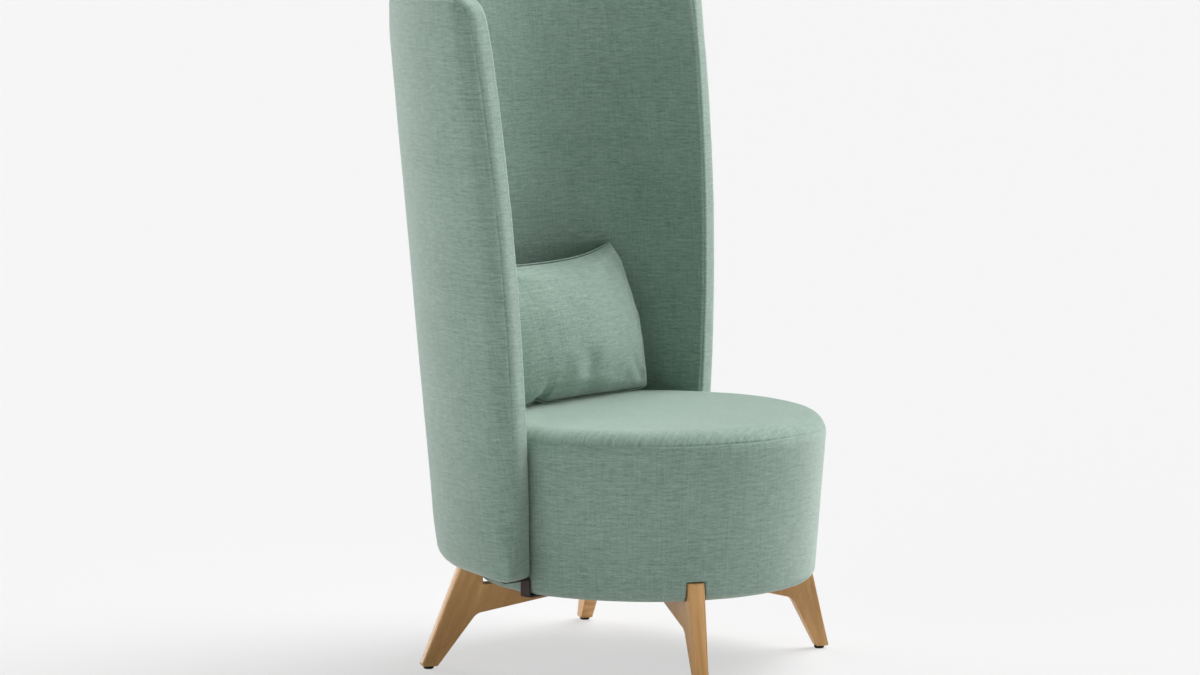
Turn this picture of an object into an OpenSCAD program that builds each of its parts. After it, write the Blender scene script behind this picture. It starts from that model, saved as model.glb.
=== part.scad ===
// High-backed lounge chair: a round upholstered seat, a tall curved shell that wraps its back
// half, four splayed wooden legs and a loose lumbar pillow.
// The sitter faces -Y. Every module draws its piece round the seat's own upright axis, and
// place() then moves the chair so that the middle of its footprint lies on the origin.

/* [Seat] */
// Radius of the seat at its shoulder, just under the upper edge
seat_r = 329; // [310:1:345]
// How much narrower the seat is at its foot than at its shoulder
seat_taper = 19; // [4:1:26]
// Height of the seat's upper edge above the floor
seat_h = 459; // [440:1:490]
// Height of the seat's underside above the floor
seat_clear = 153; // [140:1:170]
// Rise of the seat's crown above its upper edge
seat_crown = 5; // [3:1:16]
// Radius of the seat's rounded upper edge
seat_top_round = 40; // [28:1:44]
// Radius of the seat's rounded lower edge
seat_low_round = 20; // [14:1:24]

/* [Shell] */
// Height of the shell's top above the floor
shell_h = 1225; // [1100:5:1300]
// How far the shell's lower edge lies above the seat's underside
shell_rise = 32; // [24:1:44]
// Thickness of the upholstered shell, measured level
shell_t = 70; // [64:1:84]
// Outward lean of the shell's wall, in degrees
shell_lean = 4.9; // [3:0.1:6.5]
// Gap between the seat and the shell where they come closest
seat_gap = 2.5; // [1:0.5:5]
// Radius of the shell's rounded top and lower outer edges
shell_round = 24; // [16:1:28]
// Radius of the shell's lower inner edge
heel_round = 8; // [5:1:12]

/* [Wings] */
// How far the wings' foremost point lies behind the seat's axis
wing_back = 60; // [30:1:90]
// Height of the wings' foremost point above the floor
wing_nose_h = 500; // [420:5:600]
// How far the top of the wings' front edge falls back behind that point
wing_setback = 56; // [20:1:75]
// Radius of the wings' upper front corners, seen from the side
wing_corner = 45; // [35:1:90]
// Radius of the wings' lower front corners, seen from the side
wing_foot = 16; // [8:1:22]

/* [Upholstery] */
// Thickness of the cover cloth
cover_t = 2; // [1:0.5:3]
// Thickness of the foam outside the shell's plywood
outer_foam_t = 14; // [10:1:18]
// Width of the foam beyond the plywood's upper, lower and front edges
core_margin = 22; // [18:1:28]
// Thickness of the foam round the seat's hoop
side_foam_t = 22; // [18:1:26]
// Thickness of the seat's top foam at its middle
top_foam_t = 95; // [70:1:110]
// Width of the edge of the side cover that is turned in under the seat
cover_turn = 26; // [16:1:34]

/* [Frame] */
// Thickness of the shell's bent plywood
core_t = 14; // [10:1:16]
// Thickness of the plywood board under the seat
board_t = 18; // [15:1:24]
// Thickness of the bent plywood hoop
hoop_t = 12; // [9:1:15]
// Width of the flat plywood ring on the hoop
ring_w = 56; // [40:1:80]
// Thickness of that ring
ring_t = 15; // [12:1:18]
// Width of one webbing strap
web_w = 60; // [40:1:70]
// Thickness of one webbing strap
web_t = 2; // [1.5:0.5:3]
// Number of webbing straps each way
web_count = 4; // [3:1:4]
// Gap between neighbouring straps
web_gap = 22; // [12:1:28]

/* [Legs] */
// Thickness of a leg at its top, measured across it
leg_t = 32; // [26:1:38]
// Thickness of a leg at the floor, measured across it
leg_foot_t = 23; // [21:1:28]
// Angle of the legs from straight ahead or straight back, in degrees
leg_angle = 45; // [40:1:50]
// Outward splay of a front leg's outer face, in degrees
front_splay = 13; // [8:0.5:16]
// Width of a front leg at the floor, seen from its side
front_foot_w = 25; // [23:1:32]
// How far a front leg's knee lies inside the top of its outer face
front_knee_in = 31; // [24:1:40]
// Outward splay of a back leg's outer face, in degrees
back_splay = 21.7; // [16:0.1:24]
// Width of a back leg at the floor, seen from its side
back_foot_w = 31; // [24:1:36]
// How far a back leg's knee lies inside the top of its outer face
back_knee_in = 32; // [26:1:40]
// Depth of a leg's arm under the seat, at the knee
knee_drop = 54; // [44:1:64]
// Depth of the arm at its inner end
arm_end_t = 16; // [14:1:20]
// Length of a front leg's arm under the seat, from its tongue inwards
arm_l = 175; // [150:1:190]
// Height of a front leg's tongue above the seat's underside
tongue_h = 34; // [28:1:44]
// Depth of the tongue's seat in the upholstery
tongue_sink = 16; // [12:1:17]
// Clear space round a tongue in the upholstery
notch_gap = 4; // [2:0.5:6]

/* [Pillow] */
// Width of the pillow from corner to corner
pillow_w = 480; // [400:5:520]
// Height of the pillow from corner to corner
pillow_h = 288; // [260:4:340]
// Thickness of the pillow at its middle
pillow_t = 130; // [90:1:150]
// How far the pillow's sides are drawn in between its corners
pillow_draw = 12; // [4:1:24]
// How far the pillow's upper edge is drawn in between its corners
pillow_dip = 22; // [8:1:30]
// Backward lean of the pillow, in degrees
pillow_lean = 16; // [8:1:20]
// How far the pillow is turned towards the sitter's left, in degrees
pillow_turn = 9; // [0:1:14]

/* [Hardware] */
// Radius of the bolts that hold the legs and the shell
bolt_r = 4; // [3:0.5:4.5]
// Radius of the threaded inserts that take the bolts
insert_r = 6; // [5.5:0.5:7]
// Radius of the spacer tubes between the seat's hoop and the shell's plywood
spacer_r = 10; // [8:0.5:12]
// Thickness of the dark steel straps at the wings' feet
strap_t = 3; // [2:0.5:4]
// Width of those straps
strap_w = 22; // [16:1:28]
// Radius of the plastic glides under the legs
glide_r = 9.5; // [8:0.5:10]
// Height of a glide below the wood
glide_h = 5; // [3:0.5:8]

/* [Hidden] */

// Named clearances, and the overrun of every cut
fit_gap = 0.3;
screw_fit = 0.1;
head_gap = 2;
end_gap = 2;
pillow_gap = 4;
over = 2;
far = 900;
arc_steps = 8;
bow_steps = 20;

// Cloth and foam colours
mint = [0.52, 0.62, 0.56];
pale_foam = [0.93, 0.90, 0.78];
oak = [0.72, 0.54, 0.36];
birch = [0.82, 0.72, 0.55];
dark_brown = [0.16, 0.12, 0.11];
steel = [0.62, 0.63, 0.65];
black_cloth = [0.10, 0.10, 0.11];

// Seat heights and radii
shoulder_z = seat_h - seat_top_round;
ankle_z = seat_clear + seat_low_round;
seat_slope = seat_taper / (shoulder_z - ankle_z);
seat_tilt = atan(seat_slope);
function seat_side_r(z) = seat_r - (shoulder_z - z) * seat_slope;
shoulder_c = [seat_r - seat_top_round / cos(seat_tilt), shoulder_z];
ankle_c = [seat_side_r(ankle_z) - seat_low_round / cos(seat_tilt), ankle_z];
crown_lift = seat_crown + seat_top_round;
crown_r = (pow(shoulder_c.x, 2) + pow(crown_lift, 2) - pow(seat_top_round, 2)) / (2 * seat_crown);
crown_c = [0, seat_h + seat_crown - crown_r];
crown_edge = atan2(shoulder_c.y - crown_c.y, shoulder_c.x);
seat_seam = 24;

// Levels inside the seat
board_z = seat_clear + cover_t;
hoop_z = board_z + board_t;
hoop_r = seat_side_r(ankle_z) - cover_t - side_foam_t;
foam_z = seat_h + seat_crown - cover_t - fit_gap - top_foam_t;
web_z = foam_z - 2 * web_t;
ring_z = web_z - ring_t;
turn_r = ankle_c.x - cover_turn;

// Shell heights and radii
shell_z = seat_clear + shell_rise;
shell_slope = tan(shell_lean);
shell_side = cos(shell_lean);
heel_r = max(seat_side_r(shell_z), seat_r - shell_slope * (shoulder_z - shell_z)) + seat_gap;
function shell_in_r(z) = heel_r + shell_slope * (z - shell_z);
function shell_out_r(z) = shell_in_r(z) + shell_t;
core_inset = cover_t + fit_gap + outer_foam_t;
function core_out_r(z) = shell_out_r(z) - core_inset;
function core_in_r(z) = core_out_r(z) - core_t;
core_z = shell_z + core_margin;
core_top = shell_h - core_margin;
shell_back_r = shell_out_r(shell_h - shell_round);
band_seam = 45;

// The wings' front edge is an arc of a large circle, seen from the side
bow_rise = shell_h - wing_nose_h;
bow_r = (pow(bow_rise, 2) + pow(wing_setback, 2)) / (2 * wing_setback);
bow_c = [wing_back + bow_r, wing_nose_h];
wing_foot_y = bow_c.x - sqrt(pow(bow_r, 2) - pow(shell_z - wing_nose_h, 2));
core_corner = 4;

// Legs
back_top_set = 2;
glide_set = 2;
floor_cut = glide_h;
tongue_z = seat_clear + tongue_h;
tongue_r = seat_side_r(tongue_z) - tongue_sink;
arm_end_r = tongue_r - arm_l;
front_top_r = seat_side_r(tongue_z);
front_knee_r = front_top_r - front_knee_in;
back_top_r = shell_out_r(shell_z) - shell_round - back_top_set;
back_knee_r = back_top_r - back_knee_in;
step_r = seat_side_r(shell_z) + seat_gap;
front_floor_r = front_top_r + (tongue_z - floor_cut) * tan(front_splay);
back_floor_r = back_top_r + (shell_z - floor_cut) * tan(back_splay);
leg_turns = [leg_angle - 90, -90 - leg_angle, 90 - leg_angle, 90 + leg_angle];
knee_round = 24;
foot_round = 5;
tongue_round = 4;
nose_depth = leg_t / 4;
function glide_place(floor_r) = floor_r - foot_round - glide_r - glide_set;
nail_r = glide_r / 4;
nail_h = 3 * glide_h;
glide_edge = glide_h / 3;

// Bolts and inserts
head_r = 1.6 * bolt_r;
head_h = 2 * bolt_r;
insert_h = 0.8 * board_t;
leg_bolt_shares = [0.27, 0.69];
leg_bolt_rs = [for (s = leg_bolt_shares) arm_end_r + s * (hoop_r - arm_end_r)];
leg_bolt_z = seat_clear - arm_end_t;
shell_bolt_angles = [35, 90, 145];
shell_bolt_shares = [0.13, 0.82];
shell_bolt_zs = [for (s = shell_bolt_shares) core_z + s * (ring_z - core_z)];

// Straps at the wings' feet
strap_r = seat_side_r(shell_z) + 2 * fit_gap;
strap_y = wing_foot_y + strap_w / 2 + fit_gap;
strap_turn = asin(strap_y / strap_r);
core_foot_y = wing_foot_y + core_margin + strap_w / 4;
strap_screw_r = (core_out_r(shell_z) + core_in_r(shell_z)) / 2 + fit_gap;
strap_out_r = strap_screw_r + strap_w / 4;
strap_in_r = hoop_r - strap_w;
strap_board_r = strap_in_r + strap_w / 3;
strap_screw_turn = max(asin(core_foot_y / strap_screw_r), strap_turn);
strap_inside_bend = 1;
strap_bend = strap_t + strap_inside_bend;
screw_r = 2.2;
screw_head_r = 4;
screw_head_h = 2;
screw_bite = board_t - strap_t;

// Moves the chair so that the middle of its footprint lies on the origin
centre_y = (shell_back_r - seat_r) / 2;
module place() {
    translate([0, -centre_y, 0]) children();
}

// Points of an arc round c, from angle a0 to a1
function arc(c, r, a0, a1, n = arc_steps) =
    [for (i = [0:n]) let (a = a0 + (a1 - a0) * i / n) c + r * [cos(a), sin(a)]];

function flip(points) = [for (i = [len(points) - 1:-1:0]) points[i]];
function turn_of(v) = [cos(v), sin(v)];
function unit(v) = v / norm(v);

// An outline whose points each carry a corner radius: [x, y, radius]
function corner(a, b, c, r) =
    let (
        u = unit(a - b),
        v = unit(c - b),
        half = acos(u * v) / 2,
        centre = b + unit(u + v) * r / sin(half),
        p = b + u * r / tan(half) - centre,
        q = b + v * r / tan(half) - centre,
        start = atan2(p.y, p.x),
        sweep = (atan2(q.y, q.x) - start + 540) % 360 - 180
    )
    arc(centre, r, start, start + sweep);
function rounded(points) = let (n = len(points)) [
    for (i = [0:n - 1])
        let (
            a = points[(i + n - 1) % n],
            b = points[i],
            c = points[(i + 1) % n]
        )
        each b[2] > 0 ? corner([a.x, a.y], [b.x, b.y], [c.x, c.y], b[2]) : [[b.x, b.y]]
];

// The seat's outline, drawn in by d from its cloth
function seat_outline(d) = concat(
    [[0, seat_clear + d]],
    arc(ankle_c, seat_low_round - d, -90, -seat_tilt),
    arc(shoulder_c, seat_top_round - d, -seat_tilt, crown_edge),
    arc(crown_c, crown_r - d, crown_edge, 90)
);

// A turned solid, cut to the heights between z0 and z1 and outside the radius r0
module turned_seat(d, z0, z1, r0 = 0) {
    rotate_extrude($fn = 180)
        intersection() {
            polygon(seat_outline(d));
            translate([r0, z0]) square([far, z1 - z0]);
        }
}

module disc(r, z, t) {
    translate([0, 0, z]) cylinder(r = r, h = t, $fn = 180);
}

// The clear space that a front leg's tongue needs in the upholstery
module tongue_notches() {
    for (a = [leg_turns[0], leg_turns[1]])
        rotate([0, 0, a])
            translate([tongue_r - notch_gap / 2, -leg_t / 2 - notch_gap, seat_clear - over])
                cube([far, leg_t + 2 * notch_gap, tongue_h + notch_gap + over]);
}

// A cylinder along a radius, at the turn a and the height z, from r0 to r1
module spoke(a, z, r, r0, r1) {
    rotate([0, 0, a])
        translate([r0, 0, z])
            rotate([0, 90, 0]) cylinder(r = r, h = r1 - r0, $fn = 32);
}

module shell_spokes(r, r0, r1) {
    for (a = shell_bolt_angles, z = shell_bolt_zs) spoke(a, z, r, r0, r1);
}

// Upright cylinders at the leg bolts' places
module leg_bolt_posts(r, z, h) {
    for (a = leg_turns, p = leg_bolt_rs)
        rotate([0, 0, a]) translate([p, 0, z]) cylinder(r = r, h = h, $fn = 32);
}

// Upright cylinders at the strap screws' places, at the board and at the shell
module strap_posts(p, r, z, h) {
    turn = p == strap_screw_r ? strap_screw_turn : strap_turn;
    for (a = [turn, 180 - turn])
        rotate([0, 0, a]) translate([p, 0, z]) cylinder(r = r, h = h, $fn = 32);
}

module seat_board() {
    color(birch)
        difference() {
            disc(hoop_r, board_z, board_t);
            leg_bolt_posts(insert_r, hoop_z - insert_h, insert_h + over);
            leg_bolt_posts(bolt_r + fit_gap, board_z - over, board_t);
            strap_posts(strap_board_r, screw_r + screw_fit, board_z - over, over + screw_bite);
        }
}

module seat_hoop() {
    color(birch)
        difference() {
            disc(hoop_r, hoop_z, ring_z - hoop_z);
            disc(hoop_r - hoop_t, hoop_z - over, ring_z - hoop_z + 2 * over);
            shell_spokes(bolt_r + fit_gap, hoop_r - hoop_t - over * 2, hoop_r + over);
        }
}

module seat_ring() {
    color(birch)
        difference() {
            disc(hoop_r, ring_z, ring_t);
            disc(hoop_r - ring_w, ring_z - over, ring_t + 2 * over);
        }
}

// Straps side by side across the ring, cut to its outer edge
module webbing(z) {
    pitch = web_w + web_gap;
    intersection() {
        disc(hoop_r - hoop_t / 2, z, web_t);
        for (i = [0:web_count - 1])
            translate([-far / 2, (i - (web_count - 1) / 2) * pitch - web_w / 2, z - over])
                cube([far, web_w, web_t + 2 * over]);
    }
}

module webbing_across() {
    color(black_cloth) webbing(web_z);
}

module webbing_lengthwise() {
    color(black_cloth) rotate([0, 0, 90]) webbing(web_z + web_t);
}

module seat_top_foam() {
    color(pale_foam) turned_seat(cover_t + fit_gap, foam_z, far);
}

module seat_side_foam() {
    color(pale_foam)
        difference() {
            turned_seat(cover_t + fit_gap, seat_clear, foam_z - fit_gap, hoop_r + fit_gap);
            tongue_notches();
            shell_spokes(spacer_r + fit_gap, hoop_r - over, seat_r + over);
        }
}

// The two cloth covers of the seat meet in a seam on its rounded upper edge
module seat_side_cover() {
    outer = concat(
        arc(ankle_c, seat_low_round, -90, -seat_tilt),
        arc(shoulder_c, seat_top_round, -seat_tilt, seat_seam)
    );
    inner = concat(
        arc(ankle_c, seat_low_round - cover_t, -90, -seat_tilt),
        arc(shoulder_c, seat_top_round - cover_t, -seat_tilt, seat_seam)
    );
    turned_in = [[turn_r, board_z], [turn_r, seat_clear]];
    color(mint)
        difference() {
            rotate_extrude($fn = 180) polygon(concat(turned_in, outer, flip(inner)));
            tongue_notches();
            shell_spokes(spacer_r + fit_gap, hoop_r - over, seat_r + over);
            leg_bolt_posts(bolt_r + fit_gap, seat_clear - over, cover_t + 2 * over);
            strap_posts(strap_board_r, screw_r + screw_fit, seat_clear - over, cover_t + 2 * over);
        }
}

module seat_top_cover() {
    seam = seat_seam + slack(seat_top_round);
    outer = concat(
        arc(shoulder_c, seat_top_round, seam, crown_edge),
        arc(crown_c, crown_r, crown_edge, 90)
    );
    inner = concat(
        arc(shoulder_c, seat_top_round - cover_t, seam, crown_edge),
        arc(crown_c, crown_r - cover_t, crown_edge, 90)
    );
    color(mint) rotate_extrude($fn = 180) polygon(concat(outer, flip(inner)));
}

// The angle that leaves the fitting gap on an arc of radius r
function slack(r) = fit_gap / r * 180 / PI;

module dust_cover() {
    color(black_cloth)
        difference() {
            disc(turn_r - fit_gap, seat_clear, cover_t);
            leg_bolt_posts(bolt_r + fit_gap, seat_clear - over, cover_t + 2 * over);
        }
}

// The shell's section as a four-sided outline with rounded corners, drawn in by d
function shell_corners(d) = let (side = d / shell_side) [
    [shell_in_r(shell_z + d) + side, shell_z + d, heel_round - d],
    [shell_out_r(shell_z + d) - side, shell_z + d, shell_round - d],
    [shell_out_r(shell_h - d) - side, shell_h - d, shell_round - d],
    [shell_in_r(shell_h - d) + side, shell_h - d, shell_round - d]
];
heel_c = [shell_in_r(shell_z + heel_round) + heel_round / shell_side, shell_z + heel_round];
foot_c = [shell_out_r(shell_z + shell_round) - shell_round / shell_side, shell_z + shell_round];
crest_z = shell_h - shell_round;
crest_out_c = [shell_out_r(crest_z) - shell_round / shell_side, crest_z];
crest_in_c = [shell_in_r(crest_z) + shell_round / shell_side, crest_z];

module shell_section(d) {
    polygon(rounded(shell_corners(d)));
}

module shell_skin() {
    difference() {
        shell_section(0);
        shell_section(cover_t);
    }
}

// Turns a section through the back half of the circle
module half_turn() {
    rotate_extrude(angle = 180, $fn = 180) children();
}

// The wings seen from the side, drawn in by d: only the front edge and its corners cut
function wing_outline(d) =
    let (
        top_r = max(wing_corner - d, core_corner),
        low_r = max(wing_foot - d, core_corner),
        r = bow_r - d,
        top_z = shell_h - d - top_r,
        low_z = shell_z + d + low_r,
        top_c = [bow_c.x - sqrt(pow(r - top_r, 2) - pow(top_z - bow_c.y, 2)), top_z],
        low_c = [bow_c.x - sqrt(pow(r - low_r, 2) - pow(low_z - bow_c.y, 2)), low_z],
        top_a = atan2(top_c.y - bow_c.y, top_c.x - bow_c.x),
        low_a = atan2(low_c.y - bow_c.y, low_c.x - bow_c.x) + 360
    )
    concat(
        [[far, shell_h + over], [top_c.x, shell_h + over]],
        arc(top_c, top_r, 90, top_a),
        arc(bow_c, r, top_a, low_a, bow_steps),
        arc(low_c, low_r, low_a, 270),
        [[low_c.x, shell_z - over], [far, shell_z - over]]
    );

module wing_cut(d) {
    rotate([90, 0, 90])
        linear_extrude(2 * far, center = true) polygon(wing_outline(d));
}

// The part of a section that looks outward or inward, between its two seams
module outward(a) {
    polygon([
        foot_c,
        foot_c + far * turn_of(-a),
        crest_out_c + far * turn_of(a),
        crest_out_c
    ]);
}

module inward(top_a, low_a) {
    polygon([
        crest_in_c,
        crest_in_c + shell_t * turn_of(180 - top_a),
        heel_c + shell_t * turn_of(180 + low_a),
        heel_c
    ]);
}

module shell_core() {
    color(birch)
        difference() {
            core_form(0);
            shell_spokes(insert_r, heel_r, shell_back_r);
            strap_posts(strap_screw_r, screw_r + screw_fit, shell_z, core_margin + screw_bite + over);
        }
}

// The plywood's own shape, made larger all round by d
module core_form(d) {
    intersection() {
        half_turn()
            polygon([
                [core_in_r(core_z) - d, core_z - d],
                [core_out_r(core_z) + d, core_z - d],
                [core_out_r(core_top) + d, core_top + d],
                [core_in_r(core_top) - d, core_top + d]
            ]);
        wing_cut(core_margin - d);
    }
}

// The foam on one side of the plywood's middle, hollowed for the plywood
module shell_foam(lower_r, upper_r) {
    difference() {
        intersection() {
            half_turn()
                intersection() {
                    shell_section(cover_t + fit_gap);
                    polygon([
                        [lower_r[0], shell_z],
                        [upper_r[0], shell_z],
                        [upper_r[1], shell_h],
                        [lower_r[1], shell_h]
                    ]);
                }
            wing_cut(cover_t + fit_gap);
        }
        core_form(fit_gap);
    }
}

core_mid = [for (z = [shell_z, shell_h]) (core_out_r(z) + core_in_r(z)) / 2];

module shell_inner_foam() {
    inner_edge = [for (z = [shell_z, shell_h]) shell_in_r(z) - over];
    color(pale_foam)
        difference() {
            shell_foam(inner_edge, core_mid - [fit_gap, fit_gap] / 2);
            shell_spokes(spacer_r + fit_gap, heel_r - over, shell_back_r);
            strap_posts(strap_screw_r, screw_r + screw_fit, shell_z, core_margin);
        }
}

module shell_outer_foam() {
    outer_edge = [for (z = [shell_z, shell_h]) shell_out_r(z) + over];
    color(pale_foam)
        difference() {
            shell_foam(core_mid + [fit_gap, fit_gap] / 2, outer_edge);
            strap_posts(strap_screw_r, screw_r + screw_fit, shell_z, core_margin);
        }
}

module shell_outer_cover() {
    color(mint)
        intersection() {
            half_turn()
                intersection() {
                    shell_skin();
                    outward(band_seam);
                }
            wing_cut(cover_t + fit_gap);
        }
}

module shell_inner_cover() {
    color(mint)
        difference() {
            intersection() {
                half_turn()
                    intersection() {
                        shell_skin();
                        inward(band_seam, band_seam);
                    }
                wing_cut(cover_t + fit_gap);
            }
            shell_spokes(spacer_r + fit_gap, heel_r - over, shell_back_r);
        }
}

// One cloth band runs over the top, down both wings' ends and back under the shell
module shell_edge_band() {
    color(mint)
        difference() {
            union() {
                intersection() {
                    half_turn()
                        difference() {
                            shell_skin();
                            outward(band_seam + slack(shell_round));
                            inward(band_seam + slack(shell_round), band_seam + slack(heel_round));
                        }
                    wing_cut(0);
                }
                intersection() {
                    half_turn() shell_section(0);
                    difference() {
                        wing_cut(0);
                        wing_cut(cover_t);
                    }
                }
            }
            strap_posts(strap_screw_r, screw_r + screw_fit, shell_z - over, cover_t + 2 * over);
        }
}

// The space inside the plywood's inner face, where the spacers stop
module inside_core(d) {
    rotate_extrude($fn = 180)
        polygon([
            [0, shell_z],
            [core_in_r(shell_z) - d, shell_z],
            [core_in_r(seat_h) - d, seat_h],
            [0, seat_h]
        ]);
}

module shell_spacers() {
    color(steel)
        difference() {
            intersection() {
                shell_spokes(spacer_r, hoop_r + fit_gap, shell_back_r);
                inside_core(fit_gap);
            }
            shell_spokes(bolt_r + fit_gap, hoop_r - over, shell_back_r);
        }
}

// Threaded tubes in the plywood, flush with both its faces
module shell_inserts() {
    color(steel)
        intersection() {
            difference() {
                shell_spokes(insert_r - screw_fit, heel_r, shell_back_r);
                shell_spokes(bolt_r + screw_fit, heel_r - over, shell_back_r + over);
            }
            rotate_extrude($fn = 180)
                polygon([
                    [core_in_r(shell_z), shell_z],
                    [core_out_r(shell_z), shell_z],
                    [core_out_r(seat_h), seat_h],
                    [core_in_r(seat_h), seat_h]
                ]);
        }
}

// Bolts from inside the hoop, through the spacers, into the inserts
module shell_bolts() {
    tip_r = core_in_r(shell_z) + core_t;
    color(steel)
        difference() {
            union() {
                shell_spokes(bolt_r, hoop_r - hoop_t - head_h, tip_r);
                for (a = shell_bolt_angles, z = shell_bolt_zs)
                    spoke(a, z, head_r, hoop_r - hoop_t - head_h, sqrt(pow(hoop_r - hoop_t, 2) - pow(head_r, 2)));
            }
            for (a = shell_bolt_angles, z = shell_bolt_zs)
                rotate([0, 0, a])
                    translate([hoop_r - hoop_t - head_h - over, 0, z])
                        rotate([0, 90, 0]) cylinder(r = bolt_r * 0.8, h = over + head_h / 2, $fn = 6);
        }
}

// A steel strap under each wing's foot, from the shell's lower edge to the seat's board
module wing_strap() {
    low_z = seat_clear - strap_t;
    color(dark_brown)
        difference() {
            rotate([0, 0, strap_turn])
                rotate([90, 0, 0])
                    linear_extrude(strap_w, center = true)
                        polygon(rounded([
                            [strap_in_r, low_z, 0],
                            [strap_r + strap_t, low_z, strap_bend],
                            [strap_r + strap_t, shell_z - strap_t, strap_bend - strap_t],
                            [strap_out_r, shell_z - strap_t, 0],
                            [strap_out_r, shell_z, 0],
                            [strap_r, shell_z, strap_bend],
                            [strap_r, seat_clear, strap_bend - strap_t],
                            [strap_in_r, seat_clear, 0]
                        ]));
            for (p = [strap_screw_r, strap_board_r])
                strap_posts(p, screw_r + screw_fit, low_z - over, shell_z - low_z + 2 * over);
        }
}

module wing_strap_left() {
    wing_strap();
}

module wing_strap_right() {
    mirror([1, 0, 0]) wing_strap();
}

module strap_screws() {
    color(dark_brown) {
        for (side = [[strap_screw_r, shell_z], [strap_board_r, seat_clear]]) {
            reach = (side[1] == shell_z ? core_margin : cover_t) + screw_bite - end_gap;
            strap_posts(side[0], screw_r, side[1] - strap_t - screw_head_h / 2, reach + strap_t);
            strap_posts(side[0], screw_head_r, side[1] - strap_t - screw_head_h, screw_head_h);
        }
    }
}

// A leg's outline in its own upright plane: distance from the seat's axis, and height
function leg_outline(top_r, top_z, floor_r, foot_w, knee_r, step) = rounded([
    [arm_end_r, seat_clear, 0],
    [step, seat_clear, tongue_round / 2],
    [step, top_z, tongue_round],
    [top_r, top_z, tongue_round],
    [floor_r, floor_cut, foot_round],
    [floor_r - foot_w, floor_cut, foot_round],
    [knee_r, seat_clear - knee_drop, knee_round],
    [arm_end_r, seat_clear - arm_end_t, tongue_round]
]);

// The leg's front view narrows to the floor, and its outer face is softly rounded across
module leg(a, outline, top_r, top_z, floor_r, splay) {
    foot_r = glide_place(floor_r);
    wide = leg_t / 2 + over;
    color(oak)
        rotate([0, 0, a])
            difference() {
                intersection() {
                    rotate([90, 0, 0])
                        linear_extrude(leg_t + 2 * over, center = true) polygon(outline);
                    rotate([90, 0, 90])
                        linear_extrude(far)
                            polygon([
                                [-leg_foot_t / 2, 0],
                                [leg_foot_t / 2, 0],
                                [leg_t / 2, top_z + over],
                                [-leg_t / 2, top_z + over]
                            ]);
                    translate([top_r, 0, top_z])
                        rotate([0, -splay, 0])
                            translate([0, 0, -2 * top_z])
                                linear_extrude(3 * top_z)
                                    polygon(concat(
                                        [for (i = [-arc_steps:arc_steps]) let (s = i / arc_steps)
                                            [nose_depth * (sqrt(1 - s * s) - 1), wide * s]],
                                        [[-far, wide], [-far, -wide]]
                                    ));
                }
                for (p = leg_bolt_rs)
                    translate([p, 0, 0]) {
                        cylinder(r = bolt_r + fit_gap, h = seat_clear + over, $fn = 32);
                        cylinder(r = head_r + head_gap, h = leg_bolt_z, $fn = 32);
                    }
                translate([foot_r, 0, 0]) cylinder(r = nail_r + screw_fit, h = floor_cut + nail_h, $fn = 32);
            }
}

module front_leg(a) {
    outline = leg_outline(front_top_r, tongue_z, front_floor_r, front_foot_w, front_knee_r, tongue_r);
    leg(a, outline, front_top_r, tongue_z, front_floor_r, front_splay);
}

module back_leg(a) {
    outline = leg_outline(back_top_r, shell_z, back_floor_r, back_foot_w, back_knee_r, step_r);
    leg(a, outline, back_top_r, shell_z, back_floor_r, back_splay);
}

module front_leg_left() {
    front_leg(leg_turns[0]);
}

module front_leg_right() {
    front_leg(leg_turns[1]);
}

module back_leg_left() {
    back_leg(leg_turns[2]);
}

module back_leg_right() {
    back_leg(leg_turns[3]);
}

// Bolts from pockets in the arms up into the board's inserts
module leg_bolts() {
    color(steel)
        difference() {
            union() {
                leg_bolt_posts(bolt_r, leg_bolt_z - head_h, hoop_z - leg_bolt_z + head_h);
                leg_bolt_posts(head_r, leg_bolt_z - head_h, head_h);
            }
            for (a = leg_turns, p = leg_bolt_rs)
                rotate([0, 0, a])
                    translate([p, 0, leg_bolt_z - head_h - over])
                        cylinder(r = bolt_r * 0.8, h = over + head_h / 2, $fn = 6);
        }
}

module leg_inserts() {
    color(steel)
        difference() {
            leg_bolt_posts(insert_r - screw_fit, hoop_z - insert_h, insert_h);
            leg_bolt_posts(bolt_r + screw_fit, hoop_z - insert_h - over, insert_h + 2 * over);
        }
}

module leg_glides() {
    feet = [front_floor_r, front_floor_r, back_floor_r, back_floor_r];
    color(black_cloth)
        for (i = [0:3])
            rotate([0, 0, leg_turns[i]])
                translate([glide_place(feet[i]), 0, 0]) {
                    rotate_extrude($fn = 64)
                        polygon([
                            [0, 0],
                            [glide_r - glide_edge, 0],
                            [glide_r, glide_edge],
                            [glide_r, glide_h],
                            [nail_r, glide_h],
                            [nail_r, glide_h + nail_h - end_gap],
                            [0, glide_h + nail_h - end_gap]
                        ]);
                }
}

// The height of the seat's cloth at a distance r from its axis
function seat_top_z(r) =
    r < crown_r * cos(crown_edge) ? crown_c.y + sqrt(pow(crown_r, 2) - r * r) :
    r < seat_r ? shoulder_c.y + sqrt(max(pow(seat_top_round, 2) - pow(r - shoulder_c.x, 2), 0)) : 0;

// The pillow: a grid whose steps close up towards the edges, where it thins to a seam.
// Both its upper corners lean on the round wall, and its lower edge rests on the crown.
pillow_nu = 18;
pillow_nv = 14;
pillow_top_z = seat_h + seat_crown + pillow_h * cos(pillow_lean);
pillow_top_y = sqrt(pow(shell_in_r(pillow_top_z) - pillow_gap, 2) - pow(pillow_w / 2, 2));
pillow_y = pillow_top_y - pillow_h * sin(pillow_lean);

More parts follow.
